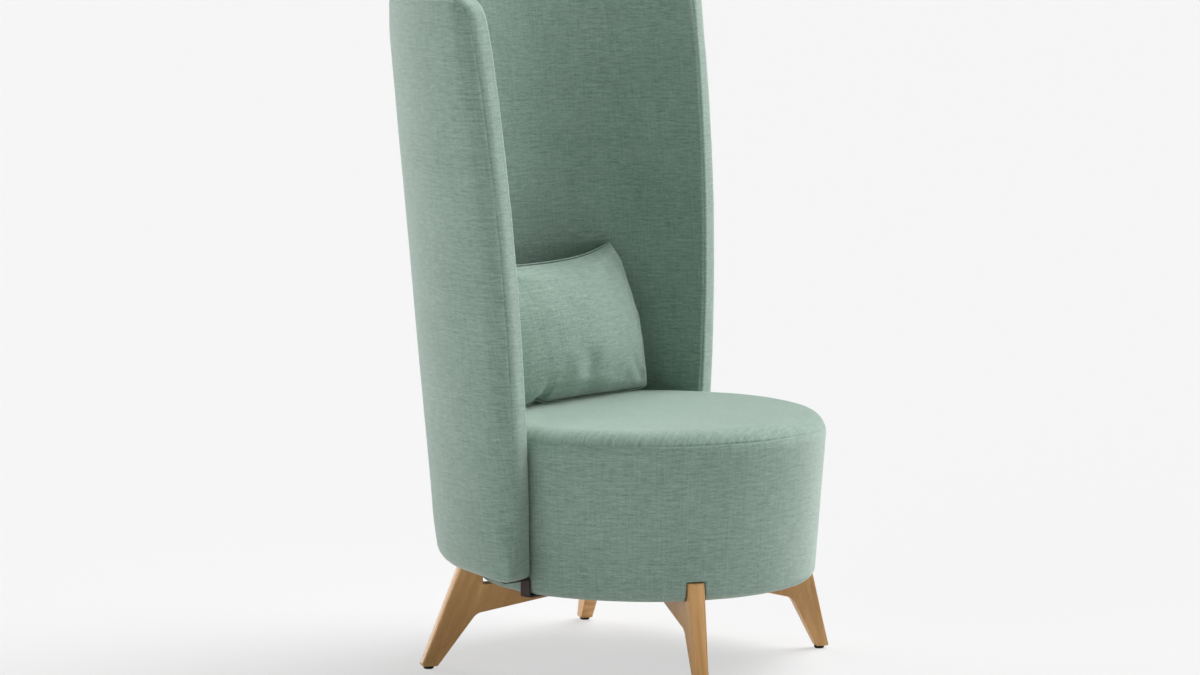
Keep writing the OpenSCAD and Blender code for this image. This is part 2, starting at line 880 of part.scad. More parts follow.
// A point of the pillow at u, v from -90 to 90, on its front (side 1) or back (side -1).
// Its sides and top are drawn in between the corners, and its lower edge lies straight.
function pillow_flat(u, v, side, k) =
    let (
        su = sin(u),
        sv = sin(v),
        x = su * (pillow_w / 2 - pillow_draw * (1 - sv * sv)),
        z = sv * (pillow_h / 2 - (sv > 0 ? pillow_dip * (1 - su * su) : 0)),
        y = -side * pillow_t / 2 * pow(max(cos(u) * cos(v), 0), 0.85)
    )
    k * [x, y, z] + [0, 0, pillow_h / 2];
function pillow_point(p) =
    let (
        y = pillow_y + p.y * cos(pillow_lean) + p.z * sin(pillow_lean),
        z = p.z * cos(pillow_lean) - p.y * sin(pillow_lean)
    )
    [
        p.x * cos(pillow_turn) + y * sin(pillow_turn),
        y * cos(pillow_turn) - p.x * sin(pillow_turn),
        z
    ];
function pillow_u(i) = -90 + 180 * i / pillow_nu;
function pillow_v(j) = -90 + 180 * j / pillow_nv;
function pillow_shape(k) = concat(
    [for (i = [0:pillow_nu], j = [0:pillow_nv])
        pillow_point(pillow_flat(pillow_u(i), pillow_v(j), 1, k))],
    [for (i = [1:pillow_nu - 1], j = [1:pillow_nv - 1])
        pillow_point(pillow_flat(pillow_u(i), pillow_v(j), -1, k))]
);
front_count = (pillow_nu + 1) * (pillow_nv + 1);
function front_i(i, j) = i * (pillow_nv + 1) + j;
function back_i(i, j) =
    i == 0 || j == 0 || i == pillow_nu || j == pillow_nv
    ? front_i(i, j)
    : front_count + (i - 1) * (pillow_nv - 1) + j - 1;

// Splits a cell of the grid along the diagonal that points to the pillow's middle
function split_cell(i, j, q) =
    (i < pillow_nu / 2) == (j < pillow_nv / 2)
    ? [[q[0], q[1], q[2]], [q[0], q[2], q[3]]]
    : [[q[0], q[1], q[3]], [q[1], q[2], q[3]]];

// The pillow's lowest touch on the seat sets how high it lies
pillow_z = max([for (p = pillow_shape(1)) seat_top_z(norm([p.x, p.y])) - p.z]) + fit_gap;

module pillow_form(k) {
    front = [for (i = [0:pillow_nu - 1], j = [0:pillow_nv - 1])
        each split_cell(i, j, [front_i(i, j), front_i(i, j + 1), front_i(i + 1, j + 1), front_i(i + 1, j)])];
    back = [for (i = [0:pillow_nu - 1], j = [0:pillow_nv - 1])
        each split_cell(i, j, [back_i(i, j), back_i(i + 1, j), back_i(i + 1, j + 1), back_i(i, j + 1)])];
    translate([0, 0, pillow_z])
        polyhedron(points = pillow_shape(k), faces = concat(front, back));
}

module pillow_cover() {
    color(mint)
        difference() {
            pillow_form(1);
            pillow_form(1 - 2 * cover_t / pillow_t);
        }
}

module pillow_insert() {
    color(pale_foam) pillow_form(1 - 2 * (cover_t + fit_gap) / pillow_t);
}

place() seat_board();
place() seat_hoop();
place() seat_ring();
place() webbing_across();
place() webbing_lengthwise();
place() seat_top_foam();
place() seat_side_foam();
place() seat_side_cover();
place() seat_top_cover();
place() dust_cover();
place() shell_core();
place() shell_inner_foam();
place() shell_outer_foam();
place() shell_inner_cover();
place() shell_outer_cover();
place() shell_edge_band();
place() shell_spacers();
place() shell_bolts();
place() shell_inserts();
place() wing_strap_left();
place() wing_strap_right();
place() strap_screws();
place() front_leg_left();
place() front_leg_right();
place() back_leg_left();
place() back_leg_right();
place() leg_bolts();
place() leg_inserts();
place() leg_glides();
place() pillow_cover();
place() pillow_insert();
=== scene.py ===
# Looks for the high-backed lounge chair. Sizes are in millimetres, as in the CAD source, and
# become metres when a mesh is made. They are measured round the seat's own axis, which lies
# AXIS_Y in front of the middle of the footprint.
import math
from contextlib import contextmanager

import bmesh
import bpy
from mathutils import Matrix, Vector, noise


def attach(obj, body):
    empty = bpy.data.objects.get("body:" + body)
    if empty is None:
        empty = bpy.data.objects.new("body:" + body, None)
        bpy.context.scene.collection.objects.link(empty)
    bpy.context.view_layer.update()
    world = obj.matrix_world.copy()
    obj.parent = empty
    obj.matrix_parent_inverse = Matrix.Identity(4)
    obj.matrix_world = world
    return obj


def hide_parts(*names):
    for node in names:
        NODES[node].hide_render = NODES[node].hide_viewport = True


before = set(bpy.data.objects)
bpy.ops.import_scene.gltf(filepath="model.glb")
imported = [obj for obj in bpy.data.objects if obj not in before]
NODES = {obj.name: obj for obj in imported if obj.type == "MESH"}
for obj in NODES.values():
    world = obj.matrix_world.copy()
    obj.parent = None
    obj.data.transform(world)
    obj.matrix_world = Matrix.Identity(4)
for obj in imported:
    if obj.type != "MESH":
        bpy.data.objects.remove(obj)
scene = bpy.context.scene
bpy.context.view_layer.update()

# Seat, repeated from the CAD source
SEAT_R = 329.0  # at the shoulder, just under the upper edge
SEAT_TAPER = 19.0  # how much narrower the seat is at its foot
SEAT_H = 459.0
CLEAR = 153.0  # height of the seat's underside
CROWN = 5.0
TOP_ROUND = 40.0
LOW_ROUND = 20.0
COVER_TURN = 26.0  # the side cover's edge that is turned in under the seat
SEAT_GAP = 2.5  # between the seat and the shell where they come closest

# Shell and wings, repeated from the CAD source
SHELL_H = 1225.0
SHELL_RISE = 32.0  # the shell's lower edge above the seat's underside
SHELL_T = 70.0
LEAN = 4.9  # degrees
SHELL_ROUND = 24.0  # the top and the lower outer edge
HEEL = 8.0  # the lower inner edge
WING_Y = 60.0  # the wings' foremost point behind the seat's axis
NOSE_Z = 500.0  # height of that point
SETBACK = 56.0  # how far the top of the wings' front edge falls back behind it
WING_TOP_R = 45.0
WING_LOW_R = 16.0

# Legs, repeated from the CAD source, with the angles in degrees
LEG_T = 32.0
TONGUE_H = 34.0  # a front leg's tongue above the seat's underside
TONGUE_SINK = 16.0  # how deep the tongue sits in the upholstery
FRONT_TURNS = (-45, -135)  # left and right, round the seat's axis
FRONT_SPLAY, BACK_SPLAY = 13, 21.7

# Pillow, whose first four sizes are the CAD source's
PILLOW_W, PILLOW_H = 480.0, 288.0
PILLOW_LEAN, PILLOW_TURN = 16.0, 9.0  # degrees
PILLOW_SWELL = 5.0  # how far its sides stand out between the corners
PILLOW_FLARE = 12.0  # how much further each side stands out at the lower edge
PILLOW_DIP = 27.0  # how far its upper edge falls between the corners
PILLOW_EAR = 4.0  # how far the very corners are drawn in
PILLOW_FRONT, PILLOW_REAR = 88.0, 54.0  # thickness before and behind the seam
FRONT_FULLNESS, REAR_FULLNESS = 0.86, 1.0  # lower keeps the thickness nearer to the seam

SHOULDER_Z, ANKLE_Z = SEAT_H - TOP_ROUND, CLEAR + LOW_ROUND
SEAT_SLOPE = SEAT_TAPER / (SHOULDER_Z - ANKLE_Z)
TILT = math.atan(SEAT_SLOPE)
SHELL_Z = CLEAR + SHELL_RISE
LEAN_SLOPE = math.tan(math.radians(LEAN))


def seat_side(z):
    return SEAT_R - (SHOULDER_Z - z) * SEAT_SLOPE


HEEL_R = max(seat_side(SHELL_Z), SEAT_R - LEAN_SLOPE * (SHOULDER_Z - SHELL_Z)) + SEAT_GAP


def inner_r(z):
    """Radius of the shell's inner face at a height."""
    return HEEL_R + LEAN_SLOPE * (z - SHELL_Z)


BACK_R = inner_r(SHELL_H - SHELL_ROUND) + SHELL_T
AXIS_Y = (BACK_R - SEAT_R) / 2
# middles of the seat's upper and lower roundings and of its crown, in its section
SHOULDER = (SEAT_R - TOP_ROUND / math.cos(TILT), SHOULDER_Z)
ANKLE = (seat_side(ANKLE_Z) - LOW_ROUND / math.cos(TILT), ANKLE_Z)
CROWN_LIFT = CROWN + TOP_ROUND
CROWN_R = (SHOULDER[0] ** 2 + CROWN_LIFT ** 2 - TOP_ROUND ** 2) / (2 * CROWN)
CROWN_Z = SEAT_H + CROWN - CROWN_R
CROWN_EDGE = math.atan2(SHOULDER[1] - CROWN_Z, SHOULDER[0])


def metres(p):
    return Vector((p[0] / 1000, (p[1] - AXIS_Y) / 1000, p[2] / 1000))


def smooth(t):
    t = min(max(t, 0.0), 1.0)
    return t * t * (3 - 2 * t)


def cos_sin(degrees):
    t = math.radians(degrees)
    return math.cos(t), math.sin(t)


def bell(offset, width):
    """1 in the middle, falling to nothing at about twice the width."""
    return math.exp(-(offset / width) ** 2)


def rough(p, size, seed=0.0):
    """Smooth noise from -1 to 1, with lumps of about this size in millimetres."""
    return noise.noise(Vector((p[0] / size + seed, p[1] / size - seed, p[2] / size + 2 * seed)))


def runs_along(points):
    """The way gone at each point of a chain, measured by the points' first two coordinates."""
    run = [0.0]
    for p, q in zip(points, points[1:]):
        run.append(run[-1] + math.hypot(p[0] - q[0], p[1] - q[1]))
    return run


@contextmanager
def edited(me):
    """Opens a mesh for bmesh's tools and writes it back."""
    bm = bmesh.new()
    bm.from_mesh(me)
    yield bm
    bm.to_mesh(me)
    bm.free()


def mesh_object(name, verts, faces, uvs=None):
    me = bpy.data.meshes.new(name)
    me.from_pydata(verts, [], faces)
    if uvs is not None:
        layer = me.uv_layers.new(name="UVMap")
        for loop in me.loops:
            layer.data[loop.index].uv = uvs[loop.vertex_index]
    me.validate()
    with edited(me) as bm:
        bmesh.ops.recalc_face_normals(bm, faces=bm.faces)
    for poly in me.polygons:
        poly.use_smooth = True
    return linked(name, me)


def linked(name, data):
    ob = bpy.data.objects.new(name, data)
    scene.collection.objects.link(ob)
    return ob


def merge_close(ob, distance):
    """Joins points that lie within a distance in metres."""
    with edited(ob.data) as bm:
        bmesh.ops.remove_doubles(bm, verts=bm.verts, dist=distance)
        bmesh.ops.recalc_face_normals(bm, faces=bm.faces)


def turn_outward(ob):
    """Turns the faces to look away from the points' middle, where most of them do not."""
    me = ob.data
    centre = sum((v.co for v in me.vertices), Vector()) / len(me.vertices)
    votes = sum((p.center - centre).dot(p.normal) * p.area for p in me.polygons)
    if votes < 0:
        me.flip_normals()


def face_out(ob, spot, direction):
    """Flips the mesh if the face nearest to a spot, in millimetres, looks against a direction."""
    place = metres(spot)
    nearest = min(ob.data.polygons, key=lambda p: (p.center - place).length_squared)
    if nearest.normal.dot(Vector(direction)) < 0:
        ob.data.flip_normals()


# Materials
def srgb(r, g, b):
    def lin(c):
        c /= 255
        return c / 12.92 if c <= 0.04045 else ((c + 0.055) / 1.055) ** 2.4
    return (lin(r), lin(g), lin(b), 1.0)


def darker(colour, red, green=None, blue=None):
    """The colour with its channels multiplied, all by the first share unless the others are given."""
    shares = (red, red if green is None else green, red if blue is None else blue)
    return tuple(c * share for c, share in zip(colour, shares)) + (1,)


class Nodes:
    """Short names for making shader nodes."""

    def __init__(self, name):
        self.mat = bpy.data.materials.new(name)
        self.mat.use_nodes = True
        self.tree = self.mat.node_tree
        self.tree.nodes.clear()
        self.out = self.add("ShaderNodeOutputMaterial")
        self.bsdf = self.add("ShaderNodeBsdfPrincipled")
        self.link(self.bsdf, "BSDF", self.out, "Surface")

    def add(self, kind, **props):
        n = self.tree.nodes.new(kind)
        for k, v in props.items():
            setattr(n, k, v)
        return n

    def link(self, a, out, b, inp):
        self.tree.links.new(a.outputs[out], b.inputs[inp])

    def put(self, node, socket, value):
        if isinstance(value, bpy.types.NodeSocket):
            self.tree.links.new(value, node.inputs[socket])
        else:
            node.inputs[socket].default_value = value

    def fill(self, node, **values):
        """Puts values or sockets in by name; an underscore stands for a space in a name."""
        for name, value in values.items():
            self.put(node, name.replace("_", " "), value)

    def math(self, op, a, b=0.0, c=0.0):
        n = self.add("ShaderNodeMath", operation=op)
        for i, v in enumerate((a, b, c)):
            self.put(n, i, v)
        return n.outputs[0]

    def mix(self, fac, a, b, blend="MIX"):
        n = self.add("ShaderNodeMix", data_type="RGBA", blend_type=blend)
        self.put(n, 0, fac)
        self.put(n, 6, a)
        self.put(n, 7, b)
        return n.outputs[2]

    def noise(self, vec, scale, detail=2.0, roughness=0.5):
        n = self.add("ShaderNodeTexNoise")
        self.fill(n, Vector=vec, Scale=scale, Detail=detail, Roughness=roughness)
        return n.outputs["Fac"]

    def stretch(self, vec, sx, sy, sz=1.0):
        n = self.add("ShaderNodeMapping")
        self.fill(n, Vector=vec, Scale=(sx, sy, sz))
        return n.outputs["Vector"]

    def ramp(self, fac, lo, hi):
        n = self.add("ShaderNodeMapRange")
        self.fill(n, Value=fac, From_Min=lo, From_Max=hi)
        return n.outputs["Result"]

    def split(self, vec):
        n = self.add("ShaderNodeSeparateXYZ")
        self.put(n, 0, vec)
        return n.outputs

    def joined(self, parts):
        n = self.add("ShaderNodeCombineXYZ")
        for i, p in enumerate(parts):
            self.put(n, i, p)
        return n.outputs[0]

    def coordinates(self, kind):
        return self.add("ShaderNodeTexCoord").outputs[kind]

    def ribs(self, along, pitch=1.0):
        """Rounded ribs, one to each pitch of the value."""
        return self.math("ABSOLUTE", self.math("SINE", self.math("MULTIPLY", along, math.pi / pitch)))

    def total(self, *parts):
        """The sum of values, each given with its share."""
        tone = 0.0
        for value, share in parts:
            tone = self.math("MULTIPLY_ADD", value, share, tone)
        return tone

    def woven(self, over, warp, weft):
        """The warp's value where the warp lies on top, and the weft's elsewhere."""
        under = self.math("SUBTRACT", 1.0, over)
        return self.math("ADD", self.math("MULTIPLY", over, warp), self.math("MULTIPLY", under, weft))

    def bump(self, height, distance, strength=1.0, normal=None):
        n = self.add("ShaderNodeBump")
        self.fill(n, Height=height, Distance=distance, Strength=strength)
        if normal is not None:
            self.put(n, "Normal", normal)
        return n.outputs["Normal"]


def melange_cloth(name, light, dark, pitch):
    """Plain-weave wool: crossing threads of mixed tones, with long slubs along the weft."""
    m = Nodes(name)
    uv = m.coordinates("UV")
    across, along = m.split(uv)[:2]
    wobble = m.math("MULTIPLY", m.math("SUBTRACT", m.noise(uv, 55.0, 1.0), 0.5), THREAD_WOBBLE)
    u = m.math("DIVIDE", m.math("ADD", across, wobble), pitch)
    v = m.math("DIVIDE", m.math("ADD", along, wobble), pitch)
    warp_no, weft_no = m.math("FLOOR", u), m.math("FLOOR", v)
    over = m.math("MODULO", m.math("ABSOLUTE", m.math("ADD", warp_no, weft_no)), 2.0)
    height = m.woven(over, m.ribs(u), m.ribs(v))
    # each thread has its own tone, and the weft's numbers are kept away from the warp's
    warp_tone = m.add("ShaderNodeTexWhiteNoise", noise_dimensions="1D")
    m.put(warp_tone, "W", warp_no)
    weft_tone = m.add("ShaderNodeTexWhiteNoise", noise_dimensions="1D")
    m.put(weft_tone, "W", m.math("ADD", weft_no, 371.0))
    thread = m.woven(over, warp_tone.outputs["Value"], weft_tone.outputs["Value"])
    slub = m.ramp(m.noise(m.stretch(uv, 34.0, 190.0), 1.0, 3.0, 0.62), 0.30, 0.70)
    thin = m.ramp(m.noise(m.stretch(uv, 70.0, 430.0), 1.0, 2.0, 0.6), 0.34, 0.68)
    fleck = m.ramp(m.noise(m.stretch(uv, 190.0, 400.0), 1.0, 2.0, 0.6), 0.36, 0.70)
    upright = m.ramp(m.noise(m.stretch(uv, 230.0, 24.0), 1.0, 2.0, 0.5), 0.3, 0.7)
    cloud = m.ramp(m.noise(uv, 9.0, 2.0), 0.3, 0.7)
    tone = m.total((thread, 0.14), (slub, 0.30), (thin, 0.20), (fleck, 0.16), (upright, 0.12), (cloud, 0.08))
    # painted shade: the colour is darker in the gaps between threads, where shade falls
    thread_gap_shade = m.math("MULTIPLY_ADD", height, 0.30, 0.74)
    soft = m.bump(m.math("ADD", slub, fleck), 0.0003, 0.6)
    m.fill(m.bsdf, Base_Color=m.mix(1.0, m.mix(tone, dark, light), m.joined((thread_gap_shade, thread_gap_shade, thread_gap_shade)), "MULTIPLY"),
           Roughness=m.math("MULTIPLY_ADD", fleck, 0.12, 0.80), Normal=m.bump(height, 0.00035, 0.55, soft),
           Specular_IOR_Level=0.22, Sheen_Weight=0.75, Sheen_Roughness=0.5, Sheen_Tint=(0.86, 0.94, 0.90, 1))
    return m.mat


def oak_wood(name, light, dark, grain):
    """Lacquered wood. grain is the unit vector that the grain runs along."""
    m = Nodes(name)
    across = Vector(grain).orthogonal().normalized()
    third = Vector(grain).cross(across)
    place = m.coordinates("Object")
    parts = []
    for axis, size in ((Vector(grain), 5.0), (across, 60.0), (third, 60.0)):
        along = m.add("ShaderNodeVectorMath", operation="DOT_PRODUCT")
        m.put(along, 0, place)
        m.put(along, 1, axis)
        parts.append(m.math("MULTIPLY", along.outputs["Value"], size))
    vec = m.joined(parts)
    rings = m.add("ShaderNodeTexWave", wave_type="BANDS", bands_direction="Y")
    m.fill(rings, Vector=vec, Scale=0.9, Distortion=3.5, Detail=3.0, Detail_Scale=1.2)
    band = m.ramp(rings.outputs["Fac"], 0.15, 0.95)
    fibre = m.ramp(m.noise(m.stretch(vec, 1.2, 14.0, 14.0), 1.0, 4.0, 0.65), 0.35, 0.68)
    pores = m.ramp(m.noise(m.stretch(vec, 3.0, 34.0, 34.0), 1.0, 2.0, 0.5), 0.60, 0.66)
    cloud = m.ramp(m.noise(vec, 0.8, 2.0), 0.3, 0.7)
    wood = m.mix(m.total((band, 0.42), (fibre, 0.34), (cloud, 0.24)), dark, light)
    pored = m.mix(m.math("MULTIPLY", pores, 0.45), wood, darker(dark, 0.5, 0.45, 0.4))
    m.fill(m.bsdf, Base_Color=pored, Roughness=m.math("MULTIPLY_ADD", fibre, 0.12, 0.40),
           Normal=m.bump(m.math("SUBTRACT", fibre, pores), 0.0002, 0.35),
           Specular_IOR_Level=0.4, Coat_Weight=0.15, Coat_Roughness=0.35)
    return m.mat


def plain_mat(name, colour, rough_lo, rough_hi, metal=0.0, grain=900.0, depth=0.0001, level=0.4):
    """A paint, metal, plastic or foam with fine unevenness in colour, gloss and surface."""
    m = Nodes(name)
    place = m.coordinates("Object")
    fine = m.ramp(m.noise(place, grain, 3.0), 0.3, 0.7)
    wide = m.ramp(m.noise(place, 35.0, 3.0), 0.3, 0.7)
    tone = m.total((wide, 0.5), (fine, 0.5))
    m.fill(m.bsdf, Base_Color=m.mix(tone, darker(colour, 0.7), colour),
           Roughness=m.math("MULTIPLY_ADD", wide, rough_hi - rough_lo, rough_lo),
           Normal=m.bump(fine, depth, 0.4), Metallic=metal, Specular_IOR_Level=level)
    return m.mat


def band_cloth(name, colour, pitch):
    """Coarse woven webbing or non-woven cloth, from object coordinates."""
    m = Nodes(name)
    place = m.coordinates("Object")
    rib = m.math("MULTIPLY", *(m.ribs(along, pitch) for along in m.split(place)[:2]))
    fuzz = m.ramp(m.noise(place, 700.0, 2.0), 0.3, 0.7)
    # painted shade: the colour is darker in the furrows between the ribs, where shade falls
    tone = m.total((rib, 0.4), (fuzz, 0.6))
    m.fill(m.bsdf, Base_Color=m.mix(tone, darker(colour, 0.5), colour),
           Roughness=m.math("MULTIPLY_ADD", fuzz, 0.1, 0.82), Normal=m.bump(rib, 0.0003, 0.6))
    return m.mat


# spacings of the threads and ribs, in metres, as the UVs and object coordinates are
THREAD_PITCH, THREAD_WOBBLE = 0.0016, 0.0016
WEBBING_PITCH, DUST_PITCH = 0.0022, 0.0011

CLOTH = melange_cloth("sage_melange_cloth", srgb(184, 208, 195), srgb(96, 127, 112), THREAD_PITCH)
FOAM = plain_mat("cream_foam", srgb(226, 216, 178), 0.85, 0.95, grain=600.0, depth=0.0004, level=0.15)
PLY = oak_wood("birch_plywood", srgb(214, 186, 143), srgb(176, 142, 98), (0, 0, 1))
STEEL = plain_mat("zinc_steel", (0.56, 0.57, 0.58, 1), 0.28, 0.45, metal=1.0, level=0.5)
BROWN = plain_mat("dark_brown_coat", srgb(58, 36, 32), 0.38, 0.55, depth=0.00012, level=0.5)
GLIDE = plain_mat("black_glide", srgb(34, 33, 34), 0.5, 0.65, level=0.4)
WEBBING = band_cloth("black_webbing", srgb(40, 40, 43), WEBBING_PITCH)
DUST = band_cloth("black_dust_cloth", srgb(30, 30, 32), DUST_PITCH)

DRESSED = (
    (PLY, ("seat_board", "seat_hoop", "seat_ring", "shell_core")),
    (WEBBING, ("webbing_across", "webbing_lengthwise")),
    (STEEL, ("shell_spacers", "shell_bolts", "shell_inserts", "leg_bolts", "leg_inserts")),
    (BROWN, ("wing_strap_left", "wing_strap_right", "strap_screws")),
    (GLIDE, ("leg_glides",)),
    (FOAM, ("seat_top_foam", "seat_side_foam", "shell_inner_foam", "shell_outer_foam", "pillow_insert")),
    (CLOTH, ("seat_side_cover", "seat_top_cover", "shell_inner_cover", "shell_outer_cover",
             "shell_edge_band", "pillow_cover")),
    (DUST, ("dust_cover",)),
)


def dress(node, mat):
    ob = NODES[node]
    if not ob.material_slots:
        ob.data.materials.append(mat)
    for s in ob.material_slots:
        s.material = mat


for mat, names in DRESSED:
    for node in names:
        dress(node, mat)


# Legs
LEG_LIGHT, LEG_DARK = srgb(240, 190, 128), srgb(201, 147, 87)
LEG_EASE = 0.0016  # metres
LEGS = (
    ("front_leg_left", FRONT_TURNS[0], FRONT_SPLAY), ("front_leg_right", FRONT_TURNS[1], FRONT_SPLAY),
    ("back_leg_left", 45, BACK_SPLAY), ("back_leg_right", 135, BACK_SPLAY),
)


def eased_leg(node, across):
    """A copy of the leg with its long edges rounded over, as a sanded leg's are."""
    me = NODES[node].data.copy()
    with edited(me) as bm:
        bmesh.ops.remove_doubles(bm, verts=bm.verts, dist=1e-6)
        bmesh.ops.dissolve_limit(bm, angle_limit=math.radians(1), verts=bm.verts, edges=bm.edges)
        sides = {f for f in bm.faces if abs(f.normal.dot(across)) > 0.999}
        edges = [e for e in bm.edges if len(e.link_faces) == 2 and len(sides & set(e.link_faces)) == 1]
        bmesh.ops.bevel(bm, geom=edges, offset=LEG_EASE, segments=3, profile=0.5,
                        affect="EDGES", clamp_overlap=False)
    me.name = node + "_eased"
    return linked(me.name, me)


for node, turn, splay in LEGS:
    (c, s), (down, out) = cos_sin(turn), cos_sin(splay)
    # the grain runs down the leg's own splayed outer face
    grain = Vector((c * out, s * out, -down))
    oak = oak_wood("oak_" + node, LEG_LIGHT, LEG_DARK, grain)
    dress(node, oak)
    leg = eased_leg(node, Vector((-s, c, 0)))
    leg.data.materials.clear()
    leg.data.materials.append(oak)
    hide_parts(node)
    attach(leg, "chair")


# The shell's upholstery
WING_OUT_R, WING_IN_R = 39.0, 9.0  # the wings' ends, rounded outside and inside across the wall
FOOT_R, CREST_R = 31.0, 24.0  # the outer rounding along the lower edge and along the top
PINCH_OUT, PINCH_IN, PINCH_REACH = 0.81, 0.2, 60  # how the roundings narrow at the lower front corner
TOP_DRAW, FOOT_DRAW = 4.5, 3.0  # how far the cloth is drawn in over the outer face's top and foot
DRAW_START, DRAW_LENGTH = 90, 80
FACE_MARGIN = 6.0  # flat cloth beside the rounded edge that still belongs to the edge's rows
SEAM_WIDTH, SEAM_DEPTH = 1.5, 0.9
NEAR_SEAM = (-3.0, -1.6, -0.8, 0.0, 0.8, 1.6, 3.0)  # rows laid close together beside a seam
SIDE_STEPS, BAND_STEPS = 5, 16  # rows from the face to the seam, and between the seams
LEVEL_STEPS, CORNER_STEPS, BOW_STEPS, TOP_STEPS = 62, 6, 118, 8
OUTER, INNER = 0, 1
PANEL_OUT, BAND, PANEL_IN = "shell_outer_panel", "shell_edge_band_cloth", "shell_inner_panel"


def bow_centre():
    """Middle and radius of the arc that the wings' front edge follows, seen from the side."""
    rise = SHELL_H - NOSE_Z
    r = (rise ** 2 + SETBACK ** 2) / (2 * SETBACK)
    return (WING_Y + r, NOSE_Z), r


def corner_centre(z, r):
    (cy, cz), bow = bow_centre()
    return (cy - math.sqrt((bow - r) ** 2 - (z - cz) ** 2), z)


def v_of(y, z):
    """The way along the middle of the wall from its foremost plane to y."""
    r = inner_r(z) + SHELL_T / 2
    return r * (math.asin(y / r) - math.asin(WING_Y / r))


def v_full(z):
    """The way along the middle of the wall from its foremost plane to the back's middle."""
    return v_of(inner_r(z) + SHELL_T / 2, z)


def drawn_in(z):
    top = TOP_DRAW * smooth((z - SHELL_H + DRAW_START) / DRAW_LENGTH)
    return top + FOOT_DRAW * smooth((SHELL_Z + DRAW_START - z) / DRAW_LENGTH)


def shell_place(a, z, w):
    """a runs from 0 at the wings' foremost plane to 1 at the back's middle, and w from 0 on the
    inner face to SHELL_T on the outer one."""
    r = inner_r(z) + w - drawn_in(z) * max(0.0, 2 * w / SHELL_T - 1)
    t0 = math.asin(WING_Y / r)
    t = t0 + a * (math.pi / 2 - t0)
    return (r * math.cos(t), r * math.sin(t), z)


def rim_arc(c, r, a0, a1, n):
    points = []
    for i in range(n + 1):
        a = math.radians(a0 + (a1 - a0) * i / n)
        y, z = c[0] + r * math.cos(a), c[1] + r * math.sin(a)
        points.append((v_of(y, z), z, -math.cos(a), -math.sin(a)))
    return points


def rim_level(from_y, z, inward):
    """The level stretch of the rim from a wing's corner to the back's middle."""
    v0, v1 = v_of(from_y, z), v_full(z)
    return [(v0 + (v1 - v0) * i / LEVEL_STEPS, z, 0, inward) for i in range(1, LEVEL_STEPS + 1)]


def shell_rim():
    """Half of the shell's edge, from the back's middle below to the back's middle above, in three
    stretches. Each point is (v, z, and the v and z of the direction away from the edge)."""
    low_c = corner_centre(SHELL_Z + WING_LOW_R, WING_LOW_R)
    top_c = corner_centre(SHELL_H - WING_TOP_R, WING_TOP_R)
    bow_c, bow = bow_centre()
    low_a = math.degrees(math.atan2(low_c[1] - bow_c[1], low_c[0] - bow_c[0])) % 360
    top_a = math.degrees(math.atan2(top_c[1] - bow_c[1], top_c[0] - bow_c[0])) % 360

    bottom = rim_level(low_c[0], SHELL_Z, 1)[::-1]
    bottom += rim_arc(low_c, WING_LOW_R, 270, 225, CORNER_STEPS)
    front = rim_arc(low_c, WING_LOW_R, 225, low_a, CORNER_STEPS)[1:]
    front += rim_arc(bow_c, bow, low_a, top_a, BOW_STEPS)[1:]
    front += rim_arc(top_c, WING_TOP_R, top_a, 135, TOP_STEPS)[1:]
    top = rim_arc(top_c, WING_TOP_R, 135, 90, CORNER_STEPS)[1:]
    top += rim_level(top_c[0], SHELL_H, -1)
    return bottom, front, top


def edge_radii(run, corner_low, corner_top):
    """At each rim point: the outer radius, the inner one, and the outer seam's place as a share of
    the outer rounding."""
    foot_ends, crest_starts = run[corner_low - CORNER_STEPS] + 12, run[corner_top + CORNER_STEPS] - 130
    radii = []
    for s in run:
        foot = smooth((foot_ends - s) / 110.0)
        crest = smooth((s - crest_starts) / 150.0)
        out_r = WING_OUT_R + (FOOT_R - WING_OUT_R) * foot + (CREST_R - WING_OUT_R) * crest
        in_r = WING_IN_R + (HEEL - WING_IN_R) * foot + (SHELL_ROUND - WING_IN_R) * crest
        # the lower front corner is tight, so the roundings narrow all along its arc
        off = max(0.0, abs(s - run[corner_low]) - WING_LOW_R * math.pi / 4)
        pinch = bell(off, PINCH_REACH)
        seam_at = 0.70 + 0.22 * foot - 0.20 * crest
        radii.append((out_r * (1 - PINCH_OUT * pinch), in_r * (1 - PINCH_IN * pinch), seam_at))
    return radii


def shell_profile(out_r, in_r, seam_at):
    """Samples over the edge from the outer face to the inner one, each (run, inset, w, normal,
    distance from the outer seam, distance from the inner seam)."""
    out_quarter, in_quarter = math.pi / 2 * out_r, math.pi / 2 * in_r
    flat = SHELL_T - out_r - in_r
    total = FACE_MARGIN + out_quarter + flat + in_quarter + FACE_MARGIN
    seam1, seam2 = FACE_MARGIN + out_quarter * seam_at, total - FACE_MARGIN - in_quarter / 2

    def at(s):
        if s < FACE_MARGIN:
            return (out_r + FACE_MARGIN - s, SHELL_T, (0, 1))
        s -= FACE_MARGIN
        if s < out_quarter:
            sine, cosine = math.sin(s / out_r), math.cos(s / out_r)
            return (out_r * (1 - sine), SHELL_T - out_r * (1 - cosine), (-sine, cosine))
        s -= out_quarter
        if s < flat:
            return (0, SHELL_T - out_r - s, (-1, 0))
        s -= flat
        if s < in_quarter:
            a = math.pi / 2 - s / in_r
            sine, cosine = math.sin(a), math.cos(a)
            return (in_r * (1 - sine), in_r * (1 - cosine), (-sine, -cosine))
        return (in_r + s - in_quarter, 0, (0, -1))

    reach = NEAR_SEAM[-1]
    rows = [(seam1 - reach) * i / SIDE_STEPS for i in range(SIDE_STEPS)]
    rows += [seam1 + d for d in NEAR_SEAM]
    rows += [seam1 + reach + (seam2 - seam1 - 2 * reach) * i / BAND_STEPS for i in range(1, BAND_STEPS)]
    rows += [seam2 + d for d in NEAR_SEAM]
    rows += [seam2 + reach + (total - seam2 - reach) * i / SIDE_STEPS for i in range(1, SIDE_STEPS + 1)]
    return [(s, *at(s), s - seam1, s - seam2) for s in rows]


